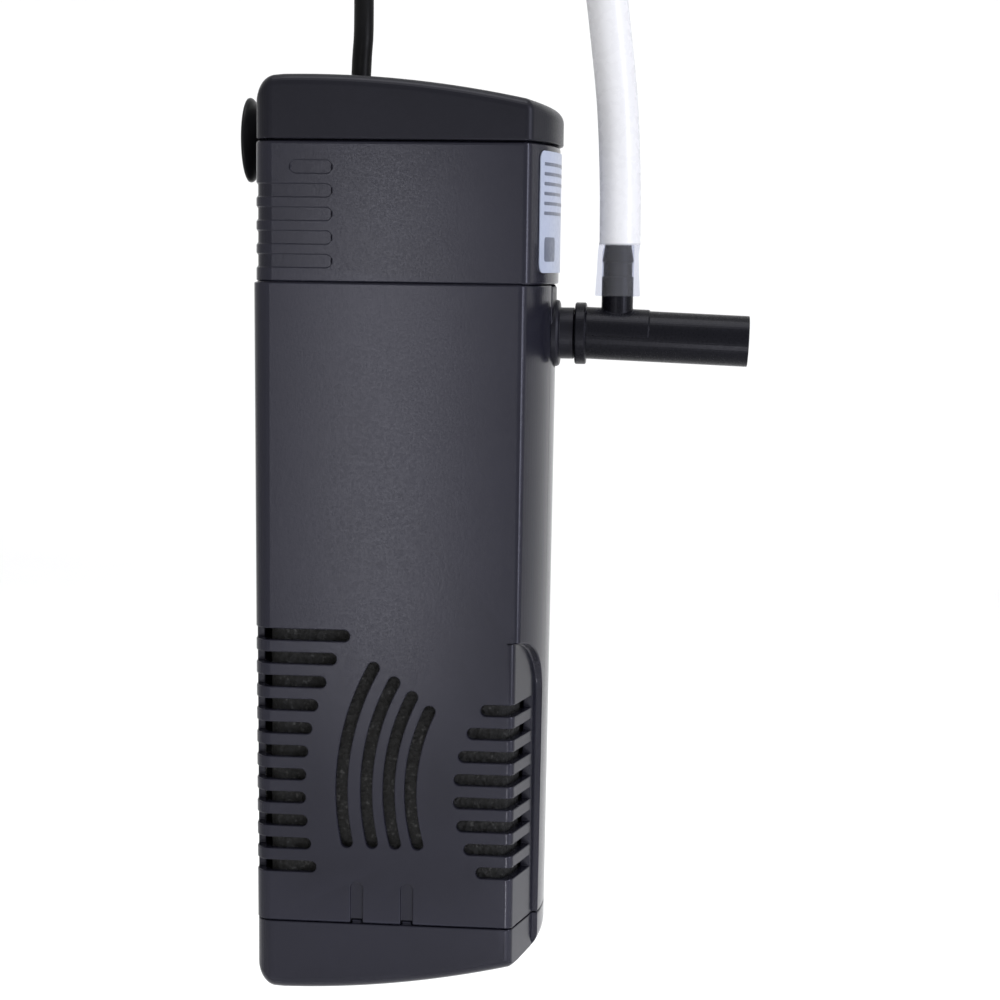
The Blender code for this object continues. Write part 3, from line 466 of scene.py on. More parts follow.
def milky(name, clear_below):
    """Milky soft PVC, scattering light. Below a height, where the barb stretches it, it turns clear."""
    m = Nodes(name)
    cloud = m.noise(60, 3, stretch=(1, 1, 0.3))
    m.colour(m.blend(m.spread(cloud), (0.63, 0.63, 0.635), (0.69, 0.69, 0.695)))
    m.roughness(m.spread(m.noise(350, 2), 0.22, 0.34))
    m.bump(m.noise(240, 3), 0.02)
    through = m.add("ShaderNodeBsdfTranslucent", {"Color": (0.74, 0.74, 0.76, 1.0)})
    clear = m.add("ShaderNodeBsdfTransparent", {"Color": (0.84, 0.85, 0.90, 1.0)})
    glow = m.add("ShaderNodeMixShader", {"Fac": 0.45})
    m.link(m.shader.outputs["BSDF"], glow.inputs[1])
    m.link(through.outputs["BSDF"], glow.inputs[2])
    height = m.add("ShaderNodeSeparateXYZ")
    m.link(m.place, height.inputs["Vector"])
    whole = m.add("ShaderNodeMixShader")
    edge = clear_below * MM
    m.link(m.span(height.outputs["Z"], edge - 0.0004, edge + 0.0004, 0.95, 0.06), whole.inputs["Fac"])
    m.link(glow.outputs["Shader"], whole.inputs[1])
    m.link(clear.outputs["BSDF"], whole.inputs[2])
    m.link(whole.outputs["Shader"], m.tree.nodes["Material Output"].inputs["Surface"])
    return m.made


def film(name, colour):
    m = Nodes(name)
    m.colour(m.blend(m.noise(120, 2), scaled(colour, 0.95), scaled(colour, 1.05)))
    m.roughness(m.spread(m.noise(700, 2), 0.28, 0.4))
    m.bump(m.noise(150, 2), 0.01)
    return m.made


def metal(name, colour, roughness, stretch=(1, 1, 1), depth=0.01):
    """Drawn, punched or plated metal, with brush marks along one axis."""
    m = Nodes(name)
    marks = m.noise(600, 3, 0.6, stretch)
    m.colour(m.blend(marks, scaled(colour, 0.85), scaled(colour, 1.1)))
    m.shader.inputs["Metallic"].default_value = 1.0
    m.roughness(m.spread(marks, roughness * 0.8, roughness * 1.3))
    m.bump(marks, depth)
    return m.made


def banded(name, along, scale, unrest, dark, light, metallic, grain, shine, depth):
    """Metal in fine bands: punched sheets in a stack, or wire laid turn beside turn."""
    m = Nodes(name)
    inputs = {"Scale": scale, "Distortion": unrest}
    wave = m.add("ShaderNodeTexWave", inputs, bands_direction=along)
    m.link(m.place, wave.inputs["Vector"])
    m.colour(m.blend(wave.outputs["Fac"], dark, light))
    m.shader.inputs["Metallic"].default_value = metallic
    m.roughness(m.spread(m.noise(grain), *shine))
    m.bump(wave.outputs["Fac"], depth)
    return m.made


SHEETS = ((0.18, 0.18, 0.19), (0.42, 0.42, 0.43))
WIRE = ((0.20, 0.06, 0.02), (0.66, 0.27, 0.11))
MATERIALS = {
    "shell": moulded("charcoal_moulding", (0.0058, 0.0058, 0.0090), 0.015, (0.15, 0.23), 1.5, 0.20),
    "cap": moulded("black_charcoal_moulding", (0.0040, 0.0040, 0.0058), 0.015, (0.30, 0.40), 1.5, 0.12),
    "spout": moulded("black_moulding", (0.0022, 0.0022, 0.0032), 0.015, (0.24, 0.34), 1.5, 0.085),
    "inner": moulded("inner_black_moulding", (0.014, 0.014, 0.015), 0.015, (0.35, 0.5)),
    "white": moulded("white_moulding", (0.55, 0.56, 0.58), 0.01, (0.35, 0.45), 1.05),
    "ceramic": moulded("ceramic", (0.78, 0.77, 0.73), 0.004, (0.2, 0.3), 1.02),
    "ferrite": moulded("ferrite", (0.030, 0.030, 0.031), 0.03, (0.5, 0.65)),
    "rubber": rubber("soft_black_rubber", (0.006, 0.006, 0.007), (0.30, 0.40)),
    "sheath": rubber("cord_sheath", (0.0016, 0.0016, 0.0020), (0.34, 0.46), 0.02),
    "foam": foam("sponge_foam"),
    "hose": milky("milky_tube", BARB_TOP),
    "label": film("label_film", (0.230, 0.255, 0.325)),
    "ink": film("label_ink", (0.06, 0.07, 0.10)),
    "steel": banded("lamination_steel", "Z", 630, 0.3, *SHEETS, 1.0, 400, (0.32, 0.5), 0.05),
    "copper": banded("copper_turns", "Y", 900, 0.6, *WIRE, 0.9, 300, (0.25, 0.4), 0.12),
    "nickel": metal("plated_pin", (0.62, 0.60, 0.56), 0.2, (1, 1, 0.2)),
}


def dress(thing, material, body, slot, *nodes):
    """Gives a piece its material and body, and lets it stand for its CAD nodes."""
    thing.data.materials.clear()
    thing.data.materials.append(MATERIALS[material])
    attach(thing, body)
    if nodes:
        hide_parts(*nodes)
    return thing


# ---- camera


def make_camera():
    ahead = Vector(
        (
            -sin(CAMERA_YAW) * cos(CAMERA_PITCH),
            cos(CAMERA_YAW) * cos(CAMERA_PITCH),
            -sin(CAMERA_PITCH),
        )
    )
    right = Vector((cos(CAMERA_YAW), sin(CAMERA_YAW), 0))
    up = right.cross(ahead)
    side = cos(CAMERA_ROLL) * right + sin(CAMERA_ROLL) * up
    top = cos(CAMERA_ROLL) * up - sin(CAMERA_ROLL) * right
    data = bpy.data.cameras.new("camera")
    data.lens = CAMERA_LENS
    data.clip_start = 0.01
    camera = bpy.data.objects.new("camera", data)
    bpy.context.scene.collection.objects.link(camera)
    turn = Matrix((side, top, -ahead)).transposed().to_4x4()
    camera.matrix_world = Matrix.Translation(Vector(CAMERA_PLACE) * MM) @ turn
    bpy.context.scene.camera = camera
    bpy.context.scene.view_settings.view_transform = "Standard"


make_camera()


# ---- cords


LEAD_ROUTE = (
    (31.2, 0.0, 12.6), (31.5, 0.0, 22.0), (32.0, 0.0, 30.0), (30.9, 7.1, 47.5),
    (28.3, 24.3, 54.6), (25.7, 41.5, 47.5), (24.5, 48.2, 30.0), (23.3, 48.3, 12.0),
    (20.0, 47.8, -8.0), (12.5, 46.0, -30.0), (5.0, 43.8, -50.0), (1.8, 42.6, -64.0),
    (1.25, 42.5, -70.2), (1.25, 42.5, -82.0),
)
LEAD_END_ROUTE = (
    (1.25, 48.0, -108.0), (1.25, 48.0, -119.8), (1.5, 48.0, -128.0), (2.2, 48.0, -137.0),
    (3.0, 48.0, -145.7),
)
PLUG_TOP = (3.0, 48.0, -146.0)
TURNS = 5
# Each step from one lane of the coil to the next: degrees where it starts and ends, the new lane
LANE_STEPS = (
    (248, 328, (-1, COIL_INSIDE)),
    (548, 608, (0, COIL_INSIDE)),
    (908, 968, (1, COIL_INSIDE)),
    (1188, 1268, (1, COIL_OUTSIDE)),
    (1488, 1548, (0, COIL_OUTSIDE)),
)


def smooth_route(route, spacing):
    """Points at even spacing along a Catmull-Rom curve through the route's own points."""
    points = [Vector(p) for p in route]
    ends = [2 * points[0] - points[1], *points, 2 * points[-1] - points[-2]]
    dense = []
    for a, b, c, d in zip(ends, ends[1:], ends[2:], ends[3:]):
        for k in range(24):
            t = k / 24
            bent = (2 * a - 5 * b + 4 * c - d) * t**2 + (3 * b - a - 3 * c + d) * t**3
            dense.append(0.5 * (2 * b + (c - a) * t + bent))
    dense.append(points[-1])
    lengths = [0.0]
    for p, q in zip(dense, dense[1:]):
        lengths.append(lengths[-1] + (q - p).length)
    count = max(round(lengths[-1] / spacing), 2)
    even = []
    k = 0
    for step in range(count + 1):
        goal = lengths[-1] * step / count
        while k < len(lengths) - 2 and lengths[k + 1] < goal:
            k += 1
        share = (goal - lengths[k]) / max(lengths[k + 1] - lengths[k], 1e-9)
        even.append(dense[k].lerp(dense[k + 1], share))
    return even


def coil_route():
    """Five turns that go from lane to lane, each a cord's width from its neighbours."""
    x, y, z = COIL_CENTRE
    points = []
    for degrees in range(0, 360 * TURNS + 1, 5):
        lane, radius = -1.0, COIL_OUTSIDE
        for start, end, (new_lane, new_radius) in LANE_STEPS:
            share = held((degrees - start) / (end - start))
            eased = share * share * (3 - 2 * share)
            lane += (new_lane - lane) * eased
            radius += (new_radius - radius) * eased
        turn = pi + radians(degrees)
        place = (x + radius * cos(turn), y + CORD_DIAMETER * lane, z + radius * sin(turn))
        points.append(Vector(place))
    return points


def make_lead():
    route = smooth_route(LEAD_ROUTE, 3.0) + coil_route() + smooth_route(LEAD_END_ROUTE, 3.0)
    curve = bpy.data.curves.new("mains_lead", "CURVE")
    curve.dimensions = "3D"
    curve.bevel_depth = CORD_DIAMETER / 2 * MM
    curve.bevel_resolution = 6
    curve.use_fill_caps = True
    spline = curve.splines.new("POLY")
    spline.points.add(len(route) - 1)
    for slot, point in zip(spline.points, route):
        slot.co = (*(point * MM), 1.0)
    lead = bpy.data.objects.new("mains_lead", curve)
    bpy.context.scene.collection.objects.link(lead)
    dress(lead, "sheath", "head", "cord_sheath", "power_cord", "cord_coil", "power_cord_end")
    pieces = [make_tie(), make_plug(), *make_pins()]


def make_tie():
    """A flat band round the bundle of turns, with rounded corners."""
    low, high = (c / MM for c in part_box("cord_tie"))
    wide = (high.z - low.z) / 2
    centre = (low + high) / 2
    half_x, half_y = (high.x - low.x) / 2 - 0.1, (high.y - low.y) / 2 - 0.1
    inset, squeeze = 1.0, 0.94
    rows = ((0.0, -wide), (0.0, wide), (-inset, wide * squeeze), (-inset, -wide * squeeze))
    rings = [
        superellipse(half_x + grow, half_y + grow, centre.z + z, 0.45, 48, centre)
        for grow, z in rows
    ]
    tie = add_mesh("lead_tie", *loft(rings, closed_ends=False))
    soften(tie, 0.2, 50)
    return dress(tie, "rubber", "head", "black_rubber", "cord_tie")


def superellipse(half_x, half_y, z, power=0.5, count=64, centre=(0.0, 0.0)):
    def reach(half, share):
        return half * abs(share) ** power * (1 if share > 0 else -1)

    turns = [tau * (k + 0.5) / count for k in range(count)]
    return [(centre[0] + reach(half_x, cos(a)), centre[1] + reach(half_y, sin(a)), z) for a in turns]


def make_plug():
    """A flat two-pin plug: ribbed strain relief, waisted grip, square nose."""
    x, y, z = PLUG_TOP
    sections = [(2.9, 2.9, z, 1.0), (3.4, 3.4, z - 0.4, 1.0)]
    for k in range(4):
        top = z - 0.4 - 2.2 * k
        swell = 0.12 * k
        for half, drop in ((3.4, 1.2), (2.9, 1.4), (2.9, 2.0), (3.5, 2.2)):
            sections.append((half + swell, half + swell, top - drop, 1.0))
    body = [(4.6, 4.2, -10.0, 0.9), (6.6, 5.2, -12.0, 0.7), (8.4, 6.1, -15.0, 0.55)]
    grip = [(8.7, 6.3, -18.0), (8.2, 5.8, -22.0), (8.6, 6.2, -27.0), (8.9, 6.5, -31.0)]
    grip += [(8.7, 6.3, -33.6), (8.2, 5.9, -34.7), (7.6, 5.4, -35.0)]
    body += [(*sizes, 0.5) for sizes in grip]
    sections += [(u, v, z + drop, power) for u, v, drop, power in body]
    rings = [superellipse(u, v, height, power, centre=(x, y)) for u, v, height, power in sections]
    plug = add_mesh("mains_plug", *loft(rings))
    finish_mesh(plug, 40)
    return dress(plug, "sheath", "head", "cord_sheath", "plug_body")


def make_pins():
    """Round pins with insulated shoulders; each is one piece with its sleeve's step."""
    pins = []
    for name in ("plug_pin_left", "plug_pin_right"):
        low, high = (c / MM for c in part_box(name))
        x, y = (low.x + high.x) / 2, (low.y + high.y) / 2
        profile = [(0, low.z), (1.1, low.z), (1.5, low.z + 0.25), (1.85, low.z + 0.9)]
        profile += [(2.0, low.z + 1.7), (2.0, high.z - 10.0), (1.85, high.z - 9.8)]
        profile += [(1.85, high.z), (0, high.z)]
        pin = add_mesh(name.replace("plug_pin", "contact"), *turned(profile, (x, y, 0), "Z", 32))
        finish_mesh(pin)
        pins.append(dress(pin, "nickel", "head", "nickel", name))
    return pins


def hose_line():
    """The air hose's centre line, from its flared foot on the barb to the valve."""
    points = [Vector((BARB_X, 0, z)) for z in (HOSE_FOOT, -38.6, -34.0, -30.0)]
    route = [Vector((x, 0, z)) for x, z in HOSE_POINTS]
    (x0, z0), (x1, z1) = HOSE_POINTS[-2:]
    lean = atan2(x0 - x1, z1 - z0)
    start = Vector((x1, 0, z1))
    steps = 10
    for k in range(1, steps + 1):
        turn = lean + HOSE_REST * k / steps / HOSE_BEND
        aside = HOSE_BEND * (cos(lean) - cos(turn))
        up = HOSE_BEND * (sin(turn) - sin(lean))
        route.append(start + Vector((-aside, 0, up)))
    return points, route, lean + HOSE_REST / HOSE_BEND


def tube_rings(path, radii, steps=48):
    """Rings across a path that stays in the X-Z plane."""
    rings = []
    across = Vector((0, 1, 0))
    turns = [tau * i / steps for i in range(steps)]
    for k, (point, radius) in enumerate(zip(path, radii)):
        ahead = path[min(k + 1, len(path) - 1)] - path[max(k - 1, 0)]
        side = Vector((ahead.z, 0, -ahead.x)).normalized()
        rings.append([point + radius * (cos(a) * side + sin(a) * across) for a in turns])
    return rings


def make_hose():
    foot, route, lean = hose_line()
    path = foot + smooth_route(route, 3.0)
    outer, inner = [], []
    for point in path:
        height = point.z - HOSE_FOOT
        on_barb = held((BARB_TOP + 0.6 - point.z) / 3.0) if height < 20 else 0.0
        flare = held((9.0 - height) / 9.0)
        outer.append(HOSE_DIAMETER / 2 + 0.55 * flare**0.8)
        inner.append(HOSE_BORE / 2 + (BARB_RADIUS + 0.08 - HOSE_BORE / 2) * on_barb)
    outside = tube_rings(path, outer)
    inside = tube_rings(path, inner)
    lip_out = tube_rings(path[:2], [outer[0] - 0.25, outer[1]])[0]
    lip_in = tube_rings(path[:2], [inner[0] + 0.25, inner[1]])[0]
    drop = Vector((0, 0, 0.2))
    rings = [lip_in] + [[p + drop for p in inside[0]]] + inside[1:] + outside[:0:-1]
    rings += [[p + drop for p in outside[0]], lip_out]
    hose = add_mesh("air_hose_tube", *loft(rings, closed_ends=False))
    finish_mesh(hose, 50)
    dress(hose, "hose", "spout", "milky_tube", "hose_end", "air_hose")
    pieces = make_valve(route[-1], lean)


def make_valve(place, lean):
    """The air valve on the hose's end: a ribbed body, an air inlet and a knurled knob."""
    tilt = Matrix.Translation(place) @ Matrix.Rotation(-lean, 4, "Y")
    profile = [(0, 0.4), (6.0, 0.4), (6.4, 0.8)]
    for k in range(3):
        z = 1.6 + 1.8 * k
        profile += [(6.4, z), (6.1, z + 0.2), (6.1, z + 0.8), (6.4, z + 1.0)]
    end = VALVE_LENGTH
    profile += [(6.4, 6.8), (6.1, 7.4), (5.4, 8.0), (5.4, end - 1.2), (5.1, end - 0.4)]
    profile += [(4.4, end), (2.6, end), (2.2, end - 0.5), (2.2, 12.0), (0, 12.0)]
    body = add_mesh("air_valve", *moved(turned(profile), tilt))
    seat = [(0, -10.0), (3.4, -10.0), (3.6, -9.8), (3.6, 0), (0, 0)]
    carve(body, additions=[moved(turned(seat, (0, 0, KNOB_HEIGHT), "Y", 48), tilt)])
    finish_mesh(body, 30)
    dress(body, "spout", "spout", "dark", "air_valve_body")
    steps = 72
    rings = []
    for radius, y, ribbed in ((5.0, -10.3, 0), (5.6, -10.8, 1), (5.6, -14.4, 1), (5.0, -15.2, 0)):
        row = []
        for k in range(steps):
            a = tau * k / steps
            r = radius - (0.22 if ribbed and k % 4 in (2, 3) else 0.0)
            row.append((r * sin(a), y, KNOB_HEIGHT + r * cos(a)))
        rings.append(row)
    knob = add_mesh("air_valve_wheel", *moved(loft(rings), tilt))
    bar = box((-1.0, -17.4, KNOB_HEIGHT - 4.6), (1.0, -14.8, KNOB_HEIGHT + 4.6))
    carve(knob, additions=[moved(bar, tilt)])
    soften(knob, 0.18, 50)
    dress(knob, "spout", "knob", "dark", "air_valve_knob")
    return [body, knob]


make_lead()
make_hose()


# ---- outlines of the body


def plan_half(shape, grow):
    """The near half (y below 0) of a plan outline, from the back face to the front's peak."""
    back, front, half = shape["back"] - grow, shape["front"] + grow, shape["half"] + grow
    bulge = BULGE_RADIUS + grow
    rear = max(BACK_CORNER + grow, 0.6)
    nose = max(FRONT_CORNER + grow, 0.5)
    arc_x = front - bulge
    nose_x = arc_x + sqrt((bulge - nose) ** 2 - (half - nose) ** 2)
    lean = asin((half - nose) / (bulge - nose))
    points = arc_points((back + rear, rear - half), rear, -pi, -pi / 2, REAR_STEPS)
    points += arc_points((nose_x, nose - half), nose, -pi / 2, -lean, 8)
    steps = 18
    points += [
        (arc_x + bulge * cos(a), -bulge * sin(a))
        for a in (lean * (1 - k / (steps + 0.5)) for k in range(1, steps + 1))
    ]
    return points


def ring(shape, height, grow=0.0, long_side=1):
    """A plan outline at a height, which is a number or a function of x."""
    near = plan_half(shape, grow)
    if long_side > 1:
        corner = REAR_STEPS + 1
        start, end = near[corner - 1], near[corner]
        length = end[0] - start[0]
        between = [(start[0] + length * k / long_side, start[1]) for k in range(1, long_side)]
        near = near[:corner] + between + near[corner:]
    plan = near + [(x, -y) for x, y in reversed(near)]
    return [(x, y, height(x) if callable(height) else height) for x, y in plan]


def levels(shape, rows, long_side=1):
    """Rings of one outline, from pairs of height and growth."""
    return [ring(shape, height, grow, long_side) for height, grow in rows]


def top_height(x):
    """A long camber that falls to the front, with a rounded back edge."""
    into = held((CAP["back"] + TOP_BACK_ROUND - x) / TOP_BACK_ROUND)
    fall = TOP_ROUND_FALL * TOP_BACK_ROUND * (1 - sqrt(1 - into**2))
    return TOP_APEX[1] - (x - TOP_APEX[0]) ** 2 / (2 * TOP_CAMBER) - fall


def bottom_height(x):
    """A long camber that rises to the front, with a rounded front and back edge."""
    rise = max(x - BOTTOM_APEX[0], 0.0) ** 2 / (2 * BOTTOM_CAMBER)
    front = x - (CANISTER["front"] - DRAFT - BOTTOM_FRONT_ROUND)
    back = CANISTER["back"] + DRAFT + BOTTOM_BACK_ROUND - x
    for reach, radius in ((front, BOTTOM_FRONT_ROUND), (back, BOTTOM_BACK_ROUND)):
        into = held(reach / radius)
        rise += BOTTOM_ROUND_RISE * radius * (1 - sqrt(1 - into**2))
    return BOTTOM_APEX[1] + rise


def filleted(shape, surface, radius, sign, steps=8):
    """Rings that round a wall over into a surface. sign is 1 at the top, -1 at the bottom."""
    rings = []
    for k in range(steps + 1):
        turn = pi / 2 * k / steps
        drop = radius * (1 - sin(turn))
        grow = -radius * (1 - cos(turn))
        rings.append(ring(shape, lambda x: surface(x) - sign * drop, grow, LONG_SIDE))
    return rings


# ---- shells


def make_cap():
    rows = [
        (lambda x: top_height(x) - WALL, -WALL - 1.5),
        (lambda x: top_height(x) - WALL - 1.5, -WALL),
        (CAP_SEAM, -WALL),
        (CAP_SEAM, -0.35),
        (CAP_SEAM + 0.1, -0.1),
        (CAP_SEAM + 0.35, 0),
    ]
    rings = levels(CAP, rows, LONG_SIDE) + filleted(CAP, top_height, TOP_FILLET, 1)
    cap = add_mesh("cap_moulding", *loft(rings))
    cord_hole = turned(rod(CORD_HOLE, 0, 30), (CORD_EXIT[0], 0, 0), "Z", 48)
    carve(cap, [cord_hole, cup_hole()])
    soften(cap, 0.2, 50)
    dress(cap, "cap", "head", "charcoal", "top_cap")


def cup_hole():
    return turned(rod(CUP_NECK + 0.4, 0, 14), (0, 0, 0), "X", 40)


def make_head():
    tongue_in, tongue_out, tongue_top = -3.8, -2.5, CAP_SEAM + 3.0
    top, foot = CAP_SEAM - GAP, HEAD_SEAM
    rings = levels(HEAD, [(foot + 2.0, -WALL), (CAP_SEAM - 5.0, -WALL)])
    rows = [(CAP_SEAM - 3.5, tongue_in), (tongue_top, tongue_in)]
    rings += levels(CAP, rows + [(tongue_top, tongue_out), (top, tongue_out)])
    rows = [(top, -0.9), (top - 0.15, -0.45), (top - 0.5, -0.1), (top - 1.0, 0)]
    rings += levels(HEAD, rows + [(foot + 0.4, 0), (foot + 0.12, -0.12), (foot, -0.4)])
    skirt_foot, skirt_in = foot - 3.3, -GAP - 1.5
    rows = [(foot, -GAP), (skirt_foot, -GAP), (skirt_foot, skirt_in), (foot - GAP, skirt_in)]
    rings += levels(CANISTER_INSIDE, rows)
    head = add_mesh("head_moulding", *loft(rings))
    can = turned(rod(CAN_BORE + 1.6, -45, -30), MOTOR_AXIS)
    carve(head, [can, cup_hole(), merged(*finger_grooves())])
    soften(head, 0.3, 50, 3)
    dress(head, "shell", "head", "charcoal", "head_shell")


def finger_grooves():
    """Five grooves on each side. All but the top one run round the back corner and end on the back."""
    half = GRIP_HEIGHT / 2
    turn_x, turn_y = HEAD["back"] + BACK_CORNER, HEAD["half"] - BACK_CORNER
    straight, bend = GRIP_END - turn_x, BACK_CORNER * pi / 2
    end_steps, corner_steps, outside = 8, 10, 5
    places = [half * (1 - cos(pi / 2 * k / end_steps)) for k in range(1, end_steps + 1)]
    for side in (-1, 1):
        for k in range(GRIPS):
            height = GRIP_TOP - GRIP_PITCH * k
            length = straight + bend + turn_y - GRIP_BACK if k else GRIP_END - GRIP_START
            corner = [straight + bend * i / corner_steps for i in range(corner_steps + 1)] if k else []
            rings = []
            for along in places + corner + [length - p for p in reversed(places)]:
                angle = pi / 2 + min(max(along - straight, 0.0), bend) / BACK_CORNER
                x = turn_x + max(straight - along, 0.0) + BACK_CORNER * cos(angle)
                y = turn_y + BACK_CORNER * sin(angle) - max(along - straight - bend, 0.0)
                tall = sqrt(half**2 - max(half - min(along, length - along), 0.0) ** 2)
                turned_share = held((along - straight) / bend)
                deep = GRIP_SIDE_DEPTH + (GRIP_DEPTH - GRIP_SIDE_DEPTH) * turned_share
                wide = tall + GRIP_SLOPE
                section = [(-deep, -tall), (-deep, tall), (0, wide)]
                section += [(outside, wide), (outside, -wide), (0, -wide)]
                rings.append(
                    [
                        (x + reach * cos(angle), side * (y + reach * sin(angle)), height + rise)
                        for reach, rise in section
                    ]
                )
            yield loft(rings)


def facet_cutters():
    """Everything outside the sunk corner facets, whose outer edges run into the sides in a curve."""
    slope = (FACET_OUTER[0] - FACET_INNER[0]) / (FACET_OUTER[1] - FACET_INNER[1])
    lean = atan(-slope)
    reach = FACET_OUTER[1] - FACET_INNER[1]
    outside, foot = 100.0, -260.0

    def top(y):
        share = max(FACET_OUTER[1] - y, 0.0) / reach
        return FACET_TOP - FACET_ARCH + FACET_ARCH * sqrt(max(1 - share**2, 0.0))

    def row(half):
        """The cut surface in plan, out to a side face at the distance half."""
        centre_y = half - FACET_ROUND
        centre_x = FACET_INNER[0] + slope * (centre_y - FACET_INNER[1]) - FACET_ROUND / cos(lean)
        curve = arc_points((centre_x, centre_y), FACET_ROUND, lean, pi / 2, 8)
        last = curve[0][1]
        width, steps = last - FACET_INNER[1], 16
        flat = [FACET_INNER[1] + width * (1 - cos(pi / 2 * k / steps)) for k in range(steps)]
        plane = [(FACET_INNER[0] + slope * (y - FACET_INNER[1]), y) for y in flat]
        return plane + curve + [(centre_x, half + 12.0)]

    upper = row(side_half(FACET_TOP))
    lower = row(side_half(foot))
    shapes = []
    for side in (-1, 1):
        rings = []
        for plan, height in ((lower, lambda y: foot), (upper, top)):
            near = [(x, side * y, height(y)) for x, y in plan]
            far = [(outside, side * y, height(y)) for x, y in reversed(plan)]
            rings.append(near + far)
        shapes.append(loft(rings))
    return merged(*shapes)


def side_half(z):
    """Half the canister's width at a height, by its draft."""
    return CANISTER["half"] - DRAFT * (HEAD_SEAM - z) / (HEAD_SEAM - BASE_SEAM)


def slot_end(radius, z):
    """Where a slot at height z meets a circle about the slot pattern's centre."""
    return SLOT_CENTRE[0] - sqrt(radius**2 - (z - SLOT_CENTRE[1]) ** 2)


def slot_shapes():
    """The slots on both sides, each with a round end on the side face."""
    half = SLOT_HEIGHT / 2
    groups = (
        (BACK_SLOTS, BACK_SLOT_RADIUS, -1, 0.0, SLOT_WRAP_BACK),
        (FRONT_SLOTS, FRONT_SLOT_RADIUS, 1, 95.0, SLOT_WRAP_FRONT),
    )
    for side in (-1, 1):
        for slots, radius, way, open_x, wrap in groups:
            for k in range(slots):
                z = LOWEST_SLOT + SLOT_PITCH * k
                start = way * pi / 2
                outline = arc_points((slot_end(radius, z) + way * half, z), half, start, start + pi, 12)
                outline += [(open_x, z - way * half), (open_x, z + way * half)]
                yield prism(outline, *sorted((side * wrap, side * OUTSIDE_Y)))
        for k, radius in enumerate(ARC_RADII):
            yield arc_slot(radius, ARC_TOP + ARC_TOP_STEP * k, side)


def arc_slot(radius, top, side):
    """A curved slot of constant width between two heights, with round ends."""
    half = SLOT_HEIGHT / 2
    start = pi - asin((top - half - SLOT_CENTRE[1]) / radius)
    end = pi - asin((ARC_BOTTOM + half - SLOT_CENTRE[1]) / radius)
    first = (SLOT_CENTRE[0] + radius * cos(start), SLOT_CENTRE[1] + radius * sin(start))
    last = (SLOT_CENTRE[0] + radius * cos(end), SLOT_CENTRE[1] + radius * sin(end))
    outline = arc_points(SLOT_CENTRE, radius + half, start, end, 28)
    outline += arc_points(last, half, end, end + pi, 12)[1:-1]
    outline += arc_points(SLOT_CENTRE, radius - half, end, start, 28)
    outline += arc_points(first, half, start - pi, start, 12)[1:-1]
    return prism(outline, *sorted((side * SLOT_WRAP_BACK, side * OUTSIDE_Y)))


def latch_places():
    return [(side, x) for side in (-1, 1) for x in LATCH_CENTRES]


def latch_channels():
    half = LATCH_WIDTH / 2
    floor = CANISTER["half"] - DRAFT - LATCH_DEPTH
    for side, x in latch_places():
        outline = arc_points((x, LATCH_TOP - half), half, 0, pi, 12)
        outline += [(x - half, BASE_SEAM - 3), (x + half, BASE_SEAM - 3)]
        yield prism(outline, *sorted((side * floor, side * OUTSIDE_Y)))


def latch_windows():
    half = LATCH_WIDTH / 2
    for side, x in latch_places():
        near, far = sorted((side * 20, side * OUTSIDE_Y))
        yield box((x - half, near, BASE_SEAM - 3), (x + half, far, BASE_SEAM + 1.3))


def make_canister():
    low, high = BASE_SEAM + GAP, HEAD_SEAM - GAP
    rows = [(low, -DRAFT - 0.3), (low + 0.3, -DRAFT), (high - 0.35, 0), (high - 0.1, -0.1)]
    rows += [(high, -0.35), (high, -0.7), (high + 0.2, -0.85)]
    rings = levels(CANISTER, rows) + levels(CANISTER_INSIDE, [(high + 0.2, 0), (low, -DRAFT)])
    shell = add_mesh("canister_moulding", *loft(rings, closed_ends=False))
    reach = BOSS_RADIUS + 0.4
    outline = arc_points((0, OUTLET_Z), reach, -pi, 0, 32) + [(reach, -30), (-reach, -30)]
    carve(shell, [prism(outline, 70, 95, "X"), facet_cutters()])
    carve(shell, [merged(*slot_shapes()), merged(*latch_channels()), merged(*latch_windows())])
    soften(shell, 0.3, 50)
    dress(shell, "shell", "canister", "charcoal", "canister_shell")


def make_base():
    inside = {"back": 9.1, "front": 79.0, "half": 25.1}
    spigot = {"back": 9.4, "front": 80.7, "half": 24.85}
    outer = {
        "back": CANISTER["back"] + DRAFT,
        "front": CANISTER["front"] - DRAFT,
        "half": CANISTER["half"] - DRAFT,
    }
    top = BASE_SEAM + 2.0
    rings = levels(inside, [(lambda x: bottom_height(x) + 2.2, -1.2), (top, -1.2)], LONG_SIDE)
    rings += levels(spigot, [(top, 0), (BASE_SEAM, 0)], LONG_SIDE)
    rows = [(BASE_SEAM, -0.35), (BASE_SEAM - 0.1, -0.1), (BASE_SEAM - 0.35, 0)]
    rings += levels(outer, rows, LONG_SIDE)
    rings += filleted(outer, bottom_height, BOTTOM_FILLET, -1)
    base = add_mesh("base_moulding", *loft(rings))
    carve(base, [facet_cutters()], [latch_tongue(side, x) for side, x in latch_places()])
    soften(base, 0.25, 50)
    dress(base, "shell", "base", "charcoal", "bottom_cap")


def latch_tongue(side, x):
    half = LATCH_WIDTH / 2 - 0.4
    profile = [(24.6, -3.0), (24.6, 1.0), (26.0, 1.0), (26.5, 0.6), (26.2, 0.2), (26.2, -3.0)]
    return prism([(side * y, BASE_SEAM + rise) for y, rise in profile], x - half, x + half, "X")


# ---- sponge


